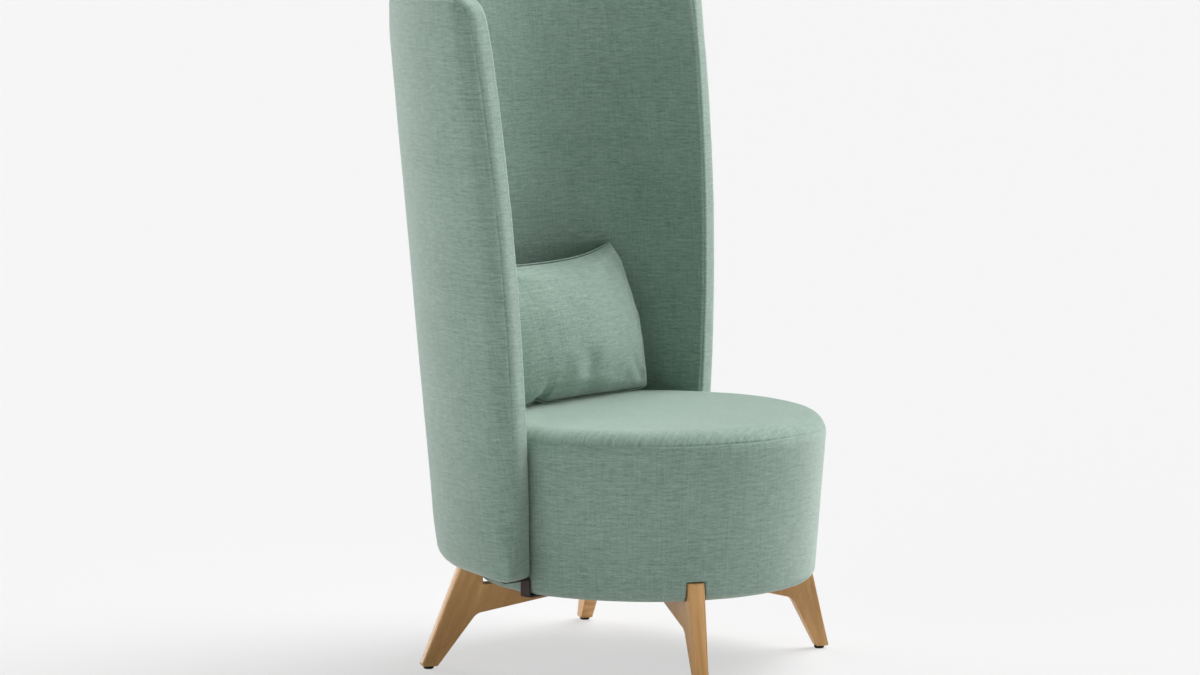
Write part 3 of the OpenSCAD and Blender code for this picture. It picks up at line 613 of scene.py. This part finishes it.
SEAM1_ROW = SIDE_STEPS + len(NEAR_SEAM) // 2
SEAM2_ROW = SEAM1_ROW + len(NEAR_SEAM) + BAND_STEPS - 1


def at_inset(point, d):
    """Where a point lies that is d inside the rim, as (a, z)."""
    v, z, nv, nz = point
    zz = z + d * nz
    return (v / v_full(z) + d * nv / v_full(zz), zz)


def face_grid(rim, radii, which, corner_low, corner_top):
    """A patch of (a, z) points, held by the rim's inset points and the back's middle line."""
    edge = [at_inset(p, r[which] + FACE_MARGIN) for p, r in zip(rim, radii)]
    low_row, side, high_row = edge[:corner_low + 1][::-1], edge[corner_low:corner_top + 1], edge[corner_top:]
    assert len(low_row) == len(high_row)
    columns = len(low_row) - 1
    z0, z1 = low_row[-1][1], high_row[-1][1]
    side_z0, side_z1 = side[0][1], side[-1][1]
    grid = []
    for i in range(columns + 1):
        back = i / columns
        low_off, high_off = ([row[i][c] - (1 - back) * row[0][c] - back * row[-1][c] for c in (0, 1)]
                             for row in (low_row, high_row))
        column = []
        for p in side:
            up = (p[1] - side_z0) / (side_z1 - side_z0)
            middle = (1.0, z0 + (z1 - z0) * up)
            # the corners' crowded points spread out again a little way from the edge
            low, high = (1 - up) ** 6, up ** 6
            column.append([(1 - back) * p[c] + back * middle[c] + low * low_off[c] + high * high_off[c]
                           for c in (0, 1)])
        grid.append(column)
    return grid


def along(a, z):
    """The cloth's own level coordinate, from the back's middle."""
    return (a - 1.0) * v_full(z)


def mirrored(p, side):
    return (side * p[0], p[1], p[2])


def face_lump(base, side, sign):
    """Unevenness of the outer face (sign 1) or the inner one (sign -1), in millimetres."""
    p = mirrored(base, side)
    return 0.9 * rough(p, 170.0, 3.1 * sign) + 0.35 * rough(p, 60.0, 7.7 * sign)


def edge_lift(place, d1, d2, between):
    """How far the cloth over the edge stands off its plain shape. d1 and d2 are the distances from
    the two seams; between runs from 0 at the outer one to 1 at the inner one."""
    groove = SEAM_DEPTH * bell(d1, SEAM_WIDTH) + SEAM_DEPTH * bell(d2, SEAM_WIDTH)
    # the turned edges under the cloth lift it in a narrow roll beside the inner seam
    groove -= 0.6 * bell(d2 + 5.0, 3.5)
    pucker = sum(0.55 * bell(d, 8.0) * (1 - bell(d, 2.2)) for d in (d1, d2)) * rough(place, 13.0, 1.7)
    puff = 1.1 * math.sin(math.pi * between)
    return -groove + pucker + puff + 0.4 * rough(place, 70.0, 4.4)


def edge_point(rim_point, row, profile, side, lump):
    """A point of the edge's cloth: (a, z) and its place. Puffs and grooves follow the normal."""
    s, d, w, (n_in, n_out), d1, d2 = row
    place = mirrored(shell_place(*at_inset(rim_point, d), w), side)
    seam1, seam2 = profile[SEAM1_ROW][0], profile[SEAM2_ROW][0]
    between = min(max((s - seam1) / (seam2 - seam1), 0), 1)
    fade = min(s / FACE_MARGIN, (profile[-1][0] - s) / FACE_MARGIN, 1.0)
    lift = edge_lift(place, d1, d2, between)
    a, z = at_inset(rim_point, d + n_in * lift * fade)
    return (a, z), shell_place(a, z, w + n_out * lift * fade + n_out * abs(n_out) * lump)


def make_shell():
    bottom, front, top = shell_rim()
    rim = bottom + front + top
    run = runs_along(rim)
    corner_low = len(bottom) - 1
    corner_top = corner_low + len(front)
    radii = edge_radii(run, corner_low, corner_top)
    faces = ((PANEL_OUT, OUTER, SHELL_T, 1), (PANEL_IN, INNER, 0.0, -1))
    pieces = {name: ([], [], []) for name in (PANEL_OUT, BAND, PANEL_IN)}

    def add(piece, side, p, uv):
        verts, _, uvs = pieces[piece]
        verts.append(metres(mirrored(p, side)))
        uvs.append((uv[0] / 1000 * side, uv[1] / 1000))
        return len(verts) - 1

    def add_face(piece, grid, side, w, sign):
        """The rows and columns of one face, as the numbers of its points."""
        numbers = []
        for column in grid:
            numbers.append([])
            for a, z in column:
                lump = face_lump(shell_place(a, z, w), side, sign)
                numbers[-1].append(add(piece, side, shell_place(a, z, w + sign * lump), (along(a, z), z)))
        quads = pieces[piece][1]
        for here, there in zip(numbers, numbers[1:]):
            for j in range(len(here) - 1):
                quads.append((here[j], there[j], there[j + 1], here[j + 1]))
        return numbers

    def grid_place(k):
        """Column and row of the face's point beside rim point k."""
        if k <= corner_low:
            return (corner_low - k, 0)
        if k <= corner_top:
            return (0, k - corner_low)
        return (k - corner_top, corner_top - corner_low)

    def edge_chain(k, side, shared):
        """One chain of points over the edge, as the numbers of each piece's own points."""
        profile = shell_profile(*radii[k])
        column, level = grid_place(k)
        chain = {name: [] for name in pieces}
        for n, row in enumerate(profile):
            d, w = row[1:3]
            lump = face_lump(shell_place(*at_inset(rim[k], d), w), side, 1 if n <= SEAM1_ROW else -1)
            (a, z), p = edge_point(rim[k], row, profile, side, lump)
            uv = (along(a, z), z)
            if n == 0:
                chain[PANEL_OUT].append(shared[PANEL_OUT][column][level])
            elif n <= SEAM1_ROW:
                chain[PANEL_OUT].append(add(PANEL_OUT, side, p, uv))
            if SEAM1_ROW <= n <= SEAM2_ROW:
                chain[BAND].append(add(BAND, side, p, (row[0], run[k])))
            if n == len(profile) - 1:
                chain[PANEL_IN].append(shared[PANEL_IN][column][level])
            elif n >= SEAM2_ROW:
                chain[PANEL_IN].append(add(PANEL_IN, side, p, uv))
        return chain

    grids = [face_grid(rim, radii, which, corner_low, corner_top) for which in (OUTER, INNER)]
    for side in (1, -1):
        shared = {name: add_face(name, grids[which], side, w, sign) for name, which, w, sign in faces}
        last = None
        for k in range(len(rim)):
            chain = edge_chain(k, side, shared)
            if last:
                for piece, row in chain.items():
                    before = last[piece]
                    for n in range(len(row) - 1):
                        pieces[piece][1].append((before[n], before[n + 1], row[n + 1], row[n]))
            last = chain
    shell = {}
    for name, (verts, quads, uvs) in pieces.items():
        shell[name] = mesh_object(name, verts, quads, uvs)
        merge_close(shell[name], 2e-5)
        shell[name].data.materials.append(CLOTH)
    return shell


shell = make_shell()
face_out(shell[PANEL_OUT], (0, inner_r(700) + SHELL_T, 700), (0, 1, 0))
face_out(shell[PANEL_IN], (0, inner_r(700), 700), (0, -1, 0))
face_out(shell[BAND], (inner_r(600) + SHELL_T / 2, WING_Y, 600), (0, -1, 0))
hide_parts("shell_outer_cover", "shell_outer_foam")
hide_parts("shell_inner_cover", "shell_inner_foam")
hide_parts("shell_edge_band")
for ob in shell.values():
    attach(ob, "chair")


# The seat's upholstery
SEAM_A = math.radians(24)  # the seam's place on the upper rounding, above level
SEAT_TURNS, NOTCH_TURNS = 200, 14
NOTCH_EDGE, NOTCH_SOFT = 3.2, 2.4  # room beside the tongue, and the width over which the cloth bends in


def arc_pts(c, r, a0, a1, n):
    """Points of an arc in the seat's section, each with its outward normal."""
    turns = [a0 + (a1 - a0) * i / n for i in range(n + 1)]
    return [(c[0] + r * math.cos(a), c[1] + r * math.sin(a), math.cos(a), math.sin(a)) for a in turns]


def notch_depth(x, y, z):
    """How much of a front leg's notch there is at a point of the seat's side, from 0 to 1."""
    deepest = 0.0
    for turn in FRONT_TURNS:
        c, s = cos_sin(turn)
        if x * c + y * s < 0:
            continue
        across = abs(-x * s + y * c)
        side = smooth((LEG_T / 2 + NOTCH_EDGE - across) / NOTCH_SOFT)
        up = smooth((CLEAR + TONGUE_H + NOTCH_EDGE - z) / NOTCH_SOFT)
        deepest = max(deepest, side * up)
    return deepest


def seat_angles():
    """Turns round the seat, closer together where the front legs' tongues sit."""
    turns = [2 * math.pi * i / SEAT_TURNS for i in range(SEAT_TURNS)]
    for turn in FRONT_TURNS:
        t = math.radians(turn) % (2 * math.pi)
        half = (LEG_T / 2 + 8) / 310
        turns = [a for a in turns if abs(a - t) > half + 0.004]
        turns += [t + half * (i / NOTCH_TURNS) for i in range(-NOTCH_TURNS, NOTCH_TURNS + 1)]
    return sorted(turns)


def revolve(name, profile, angles, notched):
    """Turns a profile round the seat's axis: (r, z, normal_r, normal_z, run, distance from the seam)."""
    verts, uvs, faces = [], [], []
    rows = len(profile)
    # the first column comes once more at the end, for its own UVs
    for turned, a in [(a, a) for a in angles] + [(angles[0] + 2 * math.pi, angles[0])]:
        for r, z, nr, nz, run, seam in profile:
            verts.append(metres(seat_shape(r, z, nr, nz, a, seam, notched)))
            uvs.append((turned * SEAT_R / 1000, run / 1000))
    for i in range(len(angles)):
        for j in range(rows - 1):
            here, there = i * rows + j, (i + 1) * rows + j
            faces.append((here, there, there + 1, here + 1))
    ob = mesh_object(name, verts, faces, uvs)
    merge_close(ob, 1e-5)
    ob.data.materials.append(CLOTH)
    return ob


def with_runs(points, seam_end):
    """Adds the run along the profile and the distance from the seam, which lies at one end."""
    runs = runs_along(points)
    return [(*p, s, (runs[-1] - s) if seam_end else s) for p, s in zip(points, runs)]


def seat_shape(r, z, nr, nz, a, seam, notched):
    """A point of the seat's cloth: the plain profile with its groove, puckers, lumps and notches."""
    x, y = r * math.cos(a), r * math.sin(a)
    groove = 1.3 * bell(seam, 1.8)
    near = bell(seam, 14.0) * (1 - bell(seam, 2.5))
    # the puckers run straight away from the seam, so their noise ignores the height
    at = (SEAT_R * math.cos(a), SEAT_R * math.sin(a), 0)
    pucker = near * (0.8 * rough(at, 38.0, 2.2) + 0.25 * rough(at, 15.0, 6.1))
    lump = 0.7 * rough((x, y, z), 120.0, 5.0) + 0.3 * rough((x, y, z), 45.0, 9.0)
    lift = -groove + pucker + lump * min(1.0, seam / 12.0)
    r2, z2 = r + nr * lift, z + nz * lift
    if notched and z < CLEAR + TONGUE_H + 6:
        depth = notch_depth(x, y, z)
        if depth > 0:
            r2 = r2 - depth * max(0.0, r2 - (seat_side(z) - TONGUE_SINK - 2.0))
    return (r2 * math.cos(a), r2 * math.sin(a), z2)


def seat_side_profile():
    turned_in = ANKLE[0] - COVER_TURN
    points = [(turned_in, CLEAR, 0, -1), (ANKLE[0] - 12, CLEAR, 0, -1)]
    points += arc_pts(ANKLE, LOW_ROUND, -math.pi / 2, -TILT, 12)
    z0, z1 = points[-1][1], SHOULDER[1] + TOP_ROUND * math.sin(-TILT)
    # rows lie 2 mm apart where the tongues' notches end
    heights = [178 + 2.0 * i for i in range(10)] + [199 + (z1 - 199) * i / 26 for i in range(26)]
    points += [(seat_side(z), z, math.cos(TILT), -math.sin(TILT)) for z in heights if z > z0 + 1]
    points += arc_pts(SHOULDER, TOP_ROUND, -TILT, SEAM_A - 0.11, 8)
    points += arc_pts(SHOULDER, TOP_ROUND, SEAM_A - 0.08, SEAM_A, 4)
    return with_runs(points, True)


def seat_top_profile():
    points = arc_pts(SHOULDER, TOP_ROUND, SEAM_A, SEAM_A + 0.08, 4)
    points += arc_pts(SHOULDER, TOP_ROUND, SEAM_A + 0.11, CROWN_EDGE, 16)
    points += arc_pts((0.0, CROWN_Z), CROWN_R, CROWN_EDGE, math.pi / 2, 40)[1:]
    return with_runs(points, False)


angles = seat_angles()
seat_side_pad = revolve("seat_side_pad", seat_side_profile(), angles, True)
seat_top_pad = revolve("seat_top_pad", seat_top_profile(), angles, False)
# the top's cloth lies flat, with its weave running straight across
uv = seat_top_pad.data.uv_layers[0].data
for loop in seat_top_pad.data.loops:
    co = seat_top_pad.data.vertices[loop.vertex_index].co
    uv[loop.index].uv = (co.x, co.y)
face_out(seat_side_pad, (0, -320, 300), (0, -1, 0))
face_out(seat_top_pad, (10, 10, 464), (0, 0, 1))
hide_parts("seat_side_cover", "seat_side_foam")
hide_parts("seat_top_cover", "seat_top_foam")
for ob in (seat_side_pad, seat_top_pad):
    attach(ob, "chair")


# The dust cloth under the seat
DUST_R = ANKLE[0] - COVER_TURN + 3  # it laps over the side cover's turned edge


def make_dust():
    verts, faces, uvs = [], [], []
    rings, turns = 24, 96
    for i in range(rings + 1):
        r = DUST_R * i / rings
        for j in range(turns):
            a = 2 * math.pi * j / turns
            x, y = r * math.cos(a), r * math.sin(a)
            sag = 0.25 * rough((x, y, 0), 60.0, 1.0) * (1 - (r / DUST_R) ** 4)
            # small pleats where the edge is stapled
            pleat = 0.15 * math.sin(a * 40) * smooth((r - DUST_R + 30) / 30)
            verts.append(metres((x, y, CLEAR + 0.8 + sag + pleat)))
            uvs.append((x / 1000, y / 1000))
    for i in range(rings):
        for j in range(turns):
            k = (j + 1) % turns
            faces.append((i * turns + j, (i + 1) * turns + j, (i + 1) * turns + k, i * turns + k))
    ob = mesh_object("dust_cloth", verts, faces, uvs)
    merge_close(ob, 1e-6)
    return ob


dust = make_dust()
dust.data.materials.append(DUST)
face_out(dust, (50, 50, CLEAR), (0, 0, -1))
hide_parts("dust_cover")
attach(dust, "chair")


# The loose pillow
WALL_GAP = 4.0  # between the pillow's upper corners and the shell, as the pillow is placed
LEAN_COS, LEAN_SIN = cos_sin(PILLOW_LEAN)
PILLOW_TOP_Z = SEAT_H + CROWN + PILLOW_H * LEAN_COS
PILLOW_TOP_Y = math.sqrt((inner_r(PILLOW_TOP_Z) - WALL_GAP) ** 2 - (PILLOW_W / 2) ** 2)
PILLOW_Y = PILLOW_TOP_Y - PILLOW_H * LEAN_SIN
PILLOW_COLUMNS, PILLOW_ROWS = 76, 52
START_FULLNESS = 0.93  # the pillow's thickness before it is filled, as a share
# the filling with air: its frames and pressure, the furthest that a point may move, in metres, and
# how much too large the cloth is cut, as a share
FRAMES, AIR, MOST_MOVE, SLACK = 20, 4.0, 0.010, 0.006


def seat_top_z(r):
    if r < CROWN_R * math.cos(CROWN_EDGE):
        return CROWN_Z + math.sqrt(CROWN_R ** 2 - r * r)
    if r < SEAT_R:
        return SHOULDER[1] + math.sqrt(max(TOP_ROUND ** 2 - (r - SHOULDER[0]) ** 2, 0))
    return 0.0


def pillow_turned(x, y, z):
    """From the pillow's own upright frame (x across, y front to back, z up from its lower edge)."""
    y2, z2 = PILLOW_Y + y * LEAN_COS + z * LEAN_SIN, z * LEAN_COS - y * LEAN_SIN
    c, s = cos_sin(PILLOW_TURN)
    return (x * c + y2 * s, y2 * c - x * s, z2)


def pillow_flat(u, v, side):
    """A point in the pillow's own frame, on its front (side 1) or its back (side -1)."""
    su, sv = math.sin(u), math.sin(v)
    ear = PILLOW_EAR * (su * sv) ** 16
    swell = PILLOW_SWELL * (1 - sv * sv) + PILLOW_FLARE * (1 - sv) / 2
    x = su * (PILLOW_W / 2 - PILLOW_SWELL + swell - ear)
    dip = PILLOW_DIP * (1 - abs(su) ** 3) if sv > 0 else 0.0
    z = sv * (PILLOW_H / 2 - dip - ear) + PILLOW_H / 2
    depth, fullness = (PILLOW_FRONT, FRONT_FULLNESS) if side > 0 else (PILLOW_REAR, REAR_FULLNESS)
    return (x, -side * depth * max(math.cos(u) * math.cos(v), 0) ** fullness, z)


def pillow_base():
    """How far the pillow is lifted to stand on the seat, not in it."""
    low = 0.0
    for i in range(19):
        for j in range(15):
            u, v = math.radians(-90 + 10 * i), math.radians(-90 + 180 * j / 14)
            for side in (1, -1):
                p = pillow_turned(*pillow_flat(u, v, side))
                low = max(low, seat_top_z(math.hypot(p[0], p[1])) - p[2])
    return low + 0.3


PILLOW_Z = pillow_base()


def make_pillow():
    """The pillow's two faces on one rim: the object, and the numbers of the rim's points in order."""
    nu, nv = PILLOW_COLUMNS, PILLOW_ROWS
    verts, faces = [], []
    index = {}

    def even_angle(i, n):
        """Steps that are even over the cloth, not over the angle."""
        return math.asin(max(-1.0, min(1.0, -1 + 2 * i / n)))

    def key(i, j, side):
        return (i, j, 0 if i in (0, nu) or j in (0, nv) else side)

    for side in (1, -1):
        for i in range(nu + 1):
            for j in range(nv + 1):
                if key(i, j, side) in index:
                    continue
                index[key(i, j, side)] = len(verts)
                x, y, z = pillow_flat(even_angle(i, nu), even_angle(j, nv), side)
                verts.append(Vector((x, START_FULLNESS * y, z)) / 1000)
    for side in (1, -1):
        for i in range(nu):
            for j in range(nv):
                quad = [index[key(*at, side)] for at in ((i, j), (i + 1, j), (i + 1, j + 1), (i, j + 1))]
                faces.append(tuple(quad if side == 1 else quad[::-1]))
    rim = [(i, 0) for i in range(nu)] + [(nu, j) for j in range(nv)]
    rim += [(i, nv) for i in range(nu, 0, -1)] + [(0, j) for j in range(nv, 0, -1)]
    return mesh_object("pillow_pad", verts, faces), [index[(i, j, 0)] for i, j in rim]


def inflate(ob, held):
    """Fills the pillow with air for a few frames, then keeps each point near its start. The seam's
    points are held, and the cloth is cut a little too large, so that it gathers along them."""
    start = [v.co.copy() for v in ob.data.vertices]
    group = ob.vertex_groups.new(name="held")
    group.add(held, 1.0, "REPLACE")
    mod = ob.modifiers.new("Cloth", "CLOTH")
    cloth = mod.settings
    cloth.quality = 6
    cloth.mass = 0.3
    cloth.tension_stiffness = 15
    cloth.compression_stiffness = 15
    cloth.shear_stiffness = 5
    cloth.bending_stiffness = 0.35
    cloth.use_pressure = True
    cloth.uniform_pressure_force = AIR
    cloth.effector_weights.gravity = 0
    cloth.vertex_group_mass = "held"
    cloth.shrink_min = -SLACK
    mod.point_cache.frame_start = 1
    mod.point_cache.frame_end = FRAMES
    scene.frame_start, scene.frame_end = 1, FRAMES
    for f in range(1, FRAMES + 1):
        scene.frame_set(f)
    filled = ob.evaluated_get(bpy.context.evaluated_depsgraph_get())
    moved = [v.co.copy() for v in filled.to_mesh().vertices]
    filled.to_mesh_clear()
    ob.modifiers.remove(mod)
    scene.frame_set(1)
    for v, a, b in zip(ob.data.vertices, start, moved):
        step = b - a
        if step.length > 0:
            step *= MOST_MOVE * math.tanh(step.length / MOST_MOVE) / step.length
        v.co = a + step
    held = set(held)
    with edited(ob.data) as bm:
        free = [v for v in bm.verts if v.index not in held]
        for _ in range(3):
            bmesh.ops.smooth_vert(bm, verts=free, factor=0.5,
                                  use_axis_x=True, use_axis_y=True, use_axis_z=True)
    ob.vertex_groups.remove(group)


pillow, pillow_rim = make_pillow()
inflate(pillow, pillow_rim)

# folds on the front, each from one point to another in the pillow's own plane, with its depth and
# width: from the corners towards the middle, and two slack ones near the lower edge
FOLDS = (
    ((236, 6), (160, 62), 2.5, 9.0),
    ((238, 282), (130, 220), 2.0, 12.0),
    ((-236, 280), (-110, 206), 3.5, 11.0),
    ((44, -6), (8, 100), 3.4, 21.0),
    ((-62, 8), (-40, 74), 1.2, 17.0),
    ((-236, 8), (-180, 60), 4.0, 9.0),
)
TUCK_X, TUCK_WIDTH, TUCK_LIFT = -92.0, 17.0, 10.0  # where the lower edge is tucked up
SEAT_SKIN, WALL_SKIN = 0.9, 1.6  # room kept over the seat's cloth and before the shell's


def crease(p, a, b, depth, width):
    """A fold along the line a-b, with a low swelling on each side, fading at both ends."""
    ax, az = a
    bx, bz = b
    lx, lz = bx - ax, bz - az
    t = ((p[0] - ax) * lx + (p[2] - az) * lz) / (lx * lx + lz * lz)
    if t < -0.1 or t > 1.1:
        return 0.0
    off = ((p[0] - ax) * lz - (p[2] - az) * lx) / math.hypot(lx, lz)
    fade = smooth((t + 0.1) / 0.3) * smooth((1.1 - t) / 0.5)
    return -depth * fade * (bell(off, width) - 0.45 * bell(abs(off) - 2.1 * width, width))


def creased(p, on_rim):
    """The pillow's point with its folds, lumps and gathers, in the pillow's own frame."""
    if not on_rim:
        side = -1 if p.y < 0 else 1
        edge = min(PILLOW_W / 2 - abs(p.x), p.z, PILLOW_H - p.z)
        push = 0.0
        if side < 0:
            push += sum(crease(p, *f) for f in FOLDS) * smooth((edge + 4) / 18.0)
        lumps = 1.9 * rough(p, 75.0, 2.0 + side) + 0.8 * rough(p, 34.0, 6.0 + side)
        push += lumps * smooth(edge / 26.0)
        gather = 1.5 * bell(edge, 13.0) * rough((p.x, 0, p.z), 9.0, 8.0 + side)
        p.y += side * (push + gather)
    p.z += TUCK_LIFT * bell(p.x - TUCK_X, TUCK_WIDTH) * smooth(1 - p.z / 60)
    return p


def settled(p):
    """The point on the chair, kept out of the seat and the shell."""
    q = Vector(pillow_turned(*p))
    q.z += PILLOW_Z
    q.z = max(q.z, seat_top_z(math.hypot(q.x, q.y)) + SEAT_SKIN)
    wall, r = inner_r(q.z) - WALL_SKIN, math.hypot(q.x, q.y)
    if r > wall:
        q.x, q.y = q.x * wall / r, q.y * wall / r
    return metres(q)


def finish_pillow(ob, rim):
    me = ob.data
    rim = set(rim)
    local = [creased(v.co * 1000, v.index in rim) for v in me.vertices]
    for v, p in zip(me.vertices, local):
        v.co = settled(p)
    layer = me.uv_layers.new(name="UVMap")
    for loop in me.loops:
        p = local[loop.vertex_index]
        layer.data[loop.index].uv = (p.x / 1000 + 2.0, p.z / 1000)


finish_pillow(pillow, pillow_rim)
mod = pillow.modifiers.new("Round", "SUBSURF")
mod.levels = mod.render_levels = 1
pillow.data.materials.append(CLOTH)
turn_outward(pillow)
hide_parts("pillow_cover", "pillow_insert")
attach(pillow, "pillow")


def seam_ridge(name, points, radius):
    """The turned seam: a thin closed roll along a loop of points, all in metres."""
    n, ring = len(points), 8
    centre = sum(points, Vector()) / n
    verts, faces, uvs = [], [], []
    run = 0.0
    for i, p in enumerate(points):
        t = (points[(i + 1) % n] - points[i - 1]).normalized()
        side = p - centre
        side = (side - t * side.dot(t)).normalized()
        up = t.cross(side)
        r = radius * (1 + 0.25 * noise.noise(p * 160))
        for j in range(ring):
            a = 2 * math.pi * j / ring
            verts.append(p + side * r * math.cos(a) * 1.3 + up * r * math.sin(a))
            uvs.append((run, j / ring * 0.012))
        run += (points[(i + 1) % n] - p).length
    for i in range(n):
        k = (i + 1) % n
        for j in range(ring):
            m = (j + 1) % ring
            faces.append((i * ring + j, i * ring + m, k * ring + m, k * ring + j))
    ob = mesh_object(name, verts, faces, uvs)
    ob.data.materials.append(CLOTH)
    return ob


pillow_seam = seam_ridge("pillow_seam", [pillow.data.vertices[i].co.copy() for i in pillow_rim], 0.0010)
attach(pillow_seam, "pillow")


# Floor and backdrop
FLOOR_HALF, FLOOR_SHADE = 60, 0.69
FLOOR_GLOW, GLOW_SHARE = 0.913, 0.62  # what only the camera sees, and its share of the floor
SKY_LIGHT, SKY_SEEN = 0.04, 0.91

corners = ((-1, -1), (1, -1), (1, 1), (-1, 1))
floor_me = bpy.data.meshes.new("floor")
floor_me.from_pydata([(x * FLOOR_HALF, y * FLOOR_HALF, 0) for x, y in corners], [], [(0, 1, 2, 3)])
floor = linked("floor", floor_me)
fm = Nodes("pale_floor")
fm.fill(fm.bsdf, Roughness=0.9, Specular_IOR_Level=0.1, Base_Color=(*[FLOOR_SHADE] * 3, 1))
path = fm.add("ShaderNodeLightPath")
glow = fm.add("ShaderNodeEmission")
fm.fill(glow, Color=(*[FLOOR_GLOW] * 3, 1))
lit = fm.add("ShaderNodeMixShader")
fm.put(lit, 0, fm.math("MULTIPLY", path.outputs["Is Camera Ray"], GLOW_SHARE))
fm.link(fm.bsdf, "BSDF", lit, 1)
fm.link(glow, "Emission", lit, 2)
fm.link(lit, "Shader", fm.out, "Surface")
floor.data.materials.append(fm.mat)

world = bpy.data.worlds.new("studio")
scene.world = world
world.use_nodes = True
tree = world.node_tree
tree.nodes.clear()
sky_out = tree.nodes.new("ShaderNodeOutputWorld")
sky_mix = tree.nodes.new("ShaderNodeMixShader")
sky_path = tree.nodes.new("ShaderNodeLightPath")
tree.links.new(sky_path.outputs["Is Camera Ray"], sky_mix.inputs[0])
for socket, tone, strength in ((1, 1, SKY_LIGHT), (2, SKY_SEEN, 1.0)):
    sky = tree.nodes.new("ShaderNodeBackground")
    sky.inputs["Color"].default_value = (tone, tone, tone, 1)
    sky.inputs["Strength"].default_value = strength
    tree.links.new(sky.outputs[0], sky_mix.inputs[socket])
tree.links.new(sky_mix.outputs[0], sky_out.inputs["Surface"])


# Camera and lamps
CAMERA_TURN, CAMERA_RISE = -61.1, 6.4  # degrees
CAMERA_DISTANCE = 8.001  # metres from the target
TARGET_Z, TARGET_SIDE = 592, -0.0849  # millimetres up, and metres towards the camera's right
FOCAL_PIXELS, PICTURE_PIXELS, SENSOR = 4378.0, 1200.0, 36.0
# turn from the camera's side towards its right, rise above the floor, strength
LAMPS = ((-135, 12, 2.15), (-45, 12, 0.93), (90, 12, 0.45), (120, 12, 0.95), (130, 57, 3.68))
LAMP_SPREAD = math.radians(50)

turn_cos, turn_sin = cos_sin(CAMERA_TURN)
cam_right, cam_back = Vector((turn_cos, turn_sin, 0)), Vector((turn_sin, -turn_cos, 0))


def sun(turn, rise, strength):
    (c, s), (level, up) = cos_sin(turn), cos_sin(rise)
    direction = (cam_back * c + cam_right * s) * level + Vector((0, 0, up))
    data = bpy.data.lights.new("studio_%d_%d" % (turn, rise), "SUN")
    data.energy = strength
    data.angle = LAMP_SPREAD
    linked(data.name, data).rotation_euler = direction.to_track_quat("Z", "Y").to_euler()


for lamp in LAMPS:
    sun(*lamp)

cam = bpy.data.cameras.new("camera")
cam.sensor_fit = "HORIZONTAL"
cam.sensor_width = SENSOR
cam.lens = FOCAL_PIXELS * SENSOR / PICTURE_PIXELS
cam.clip_end = 200.0
cam_ob = linked("camera", cam)
target = metres((0, 0, TARGET_Z)) + cam_right * TARGET_SIDE
level, up = cos_sin(CAMERA_RISE)
back_dir = Vector((turn_sin * level, -turn_cos * level, up))
cam_ob.location = target + back_dir * CAMERA_DISTANCE
cam_ob.rotation_euler = back_dir.to_track_quat("Z", "Y").to_euler()
scene.camera = cam_ob
scene.view_settings.view_transform = "Standard"
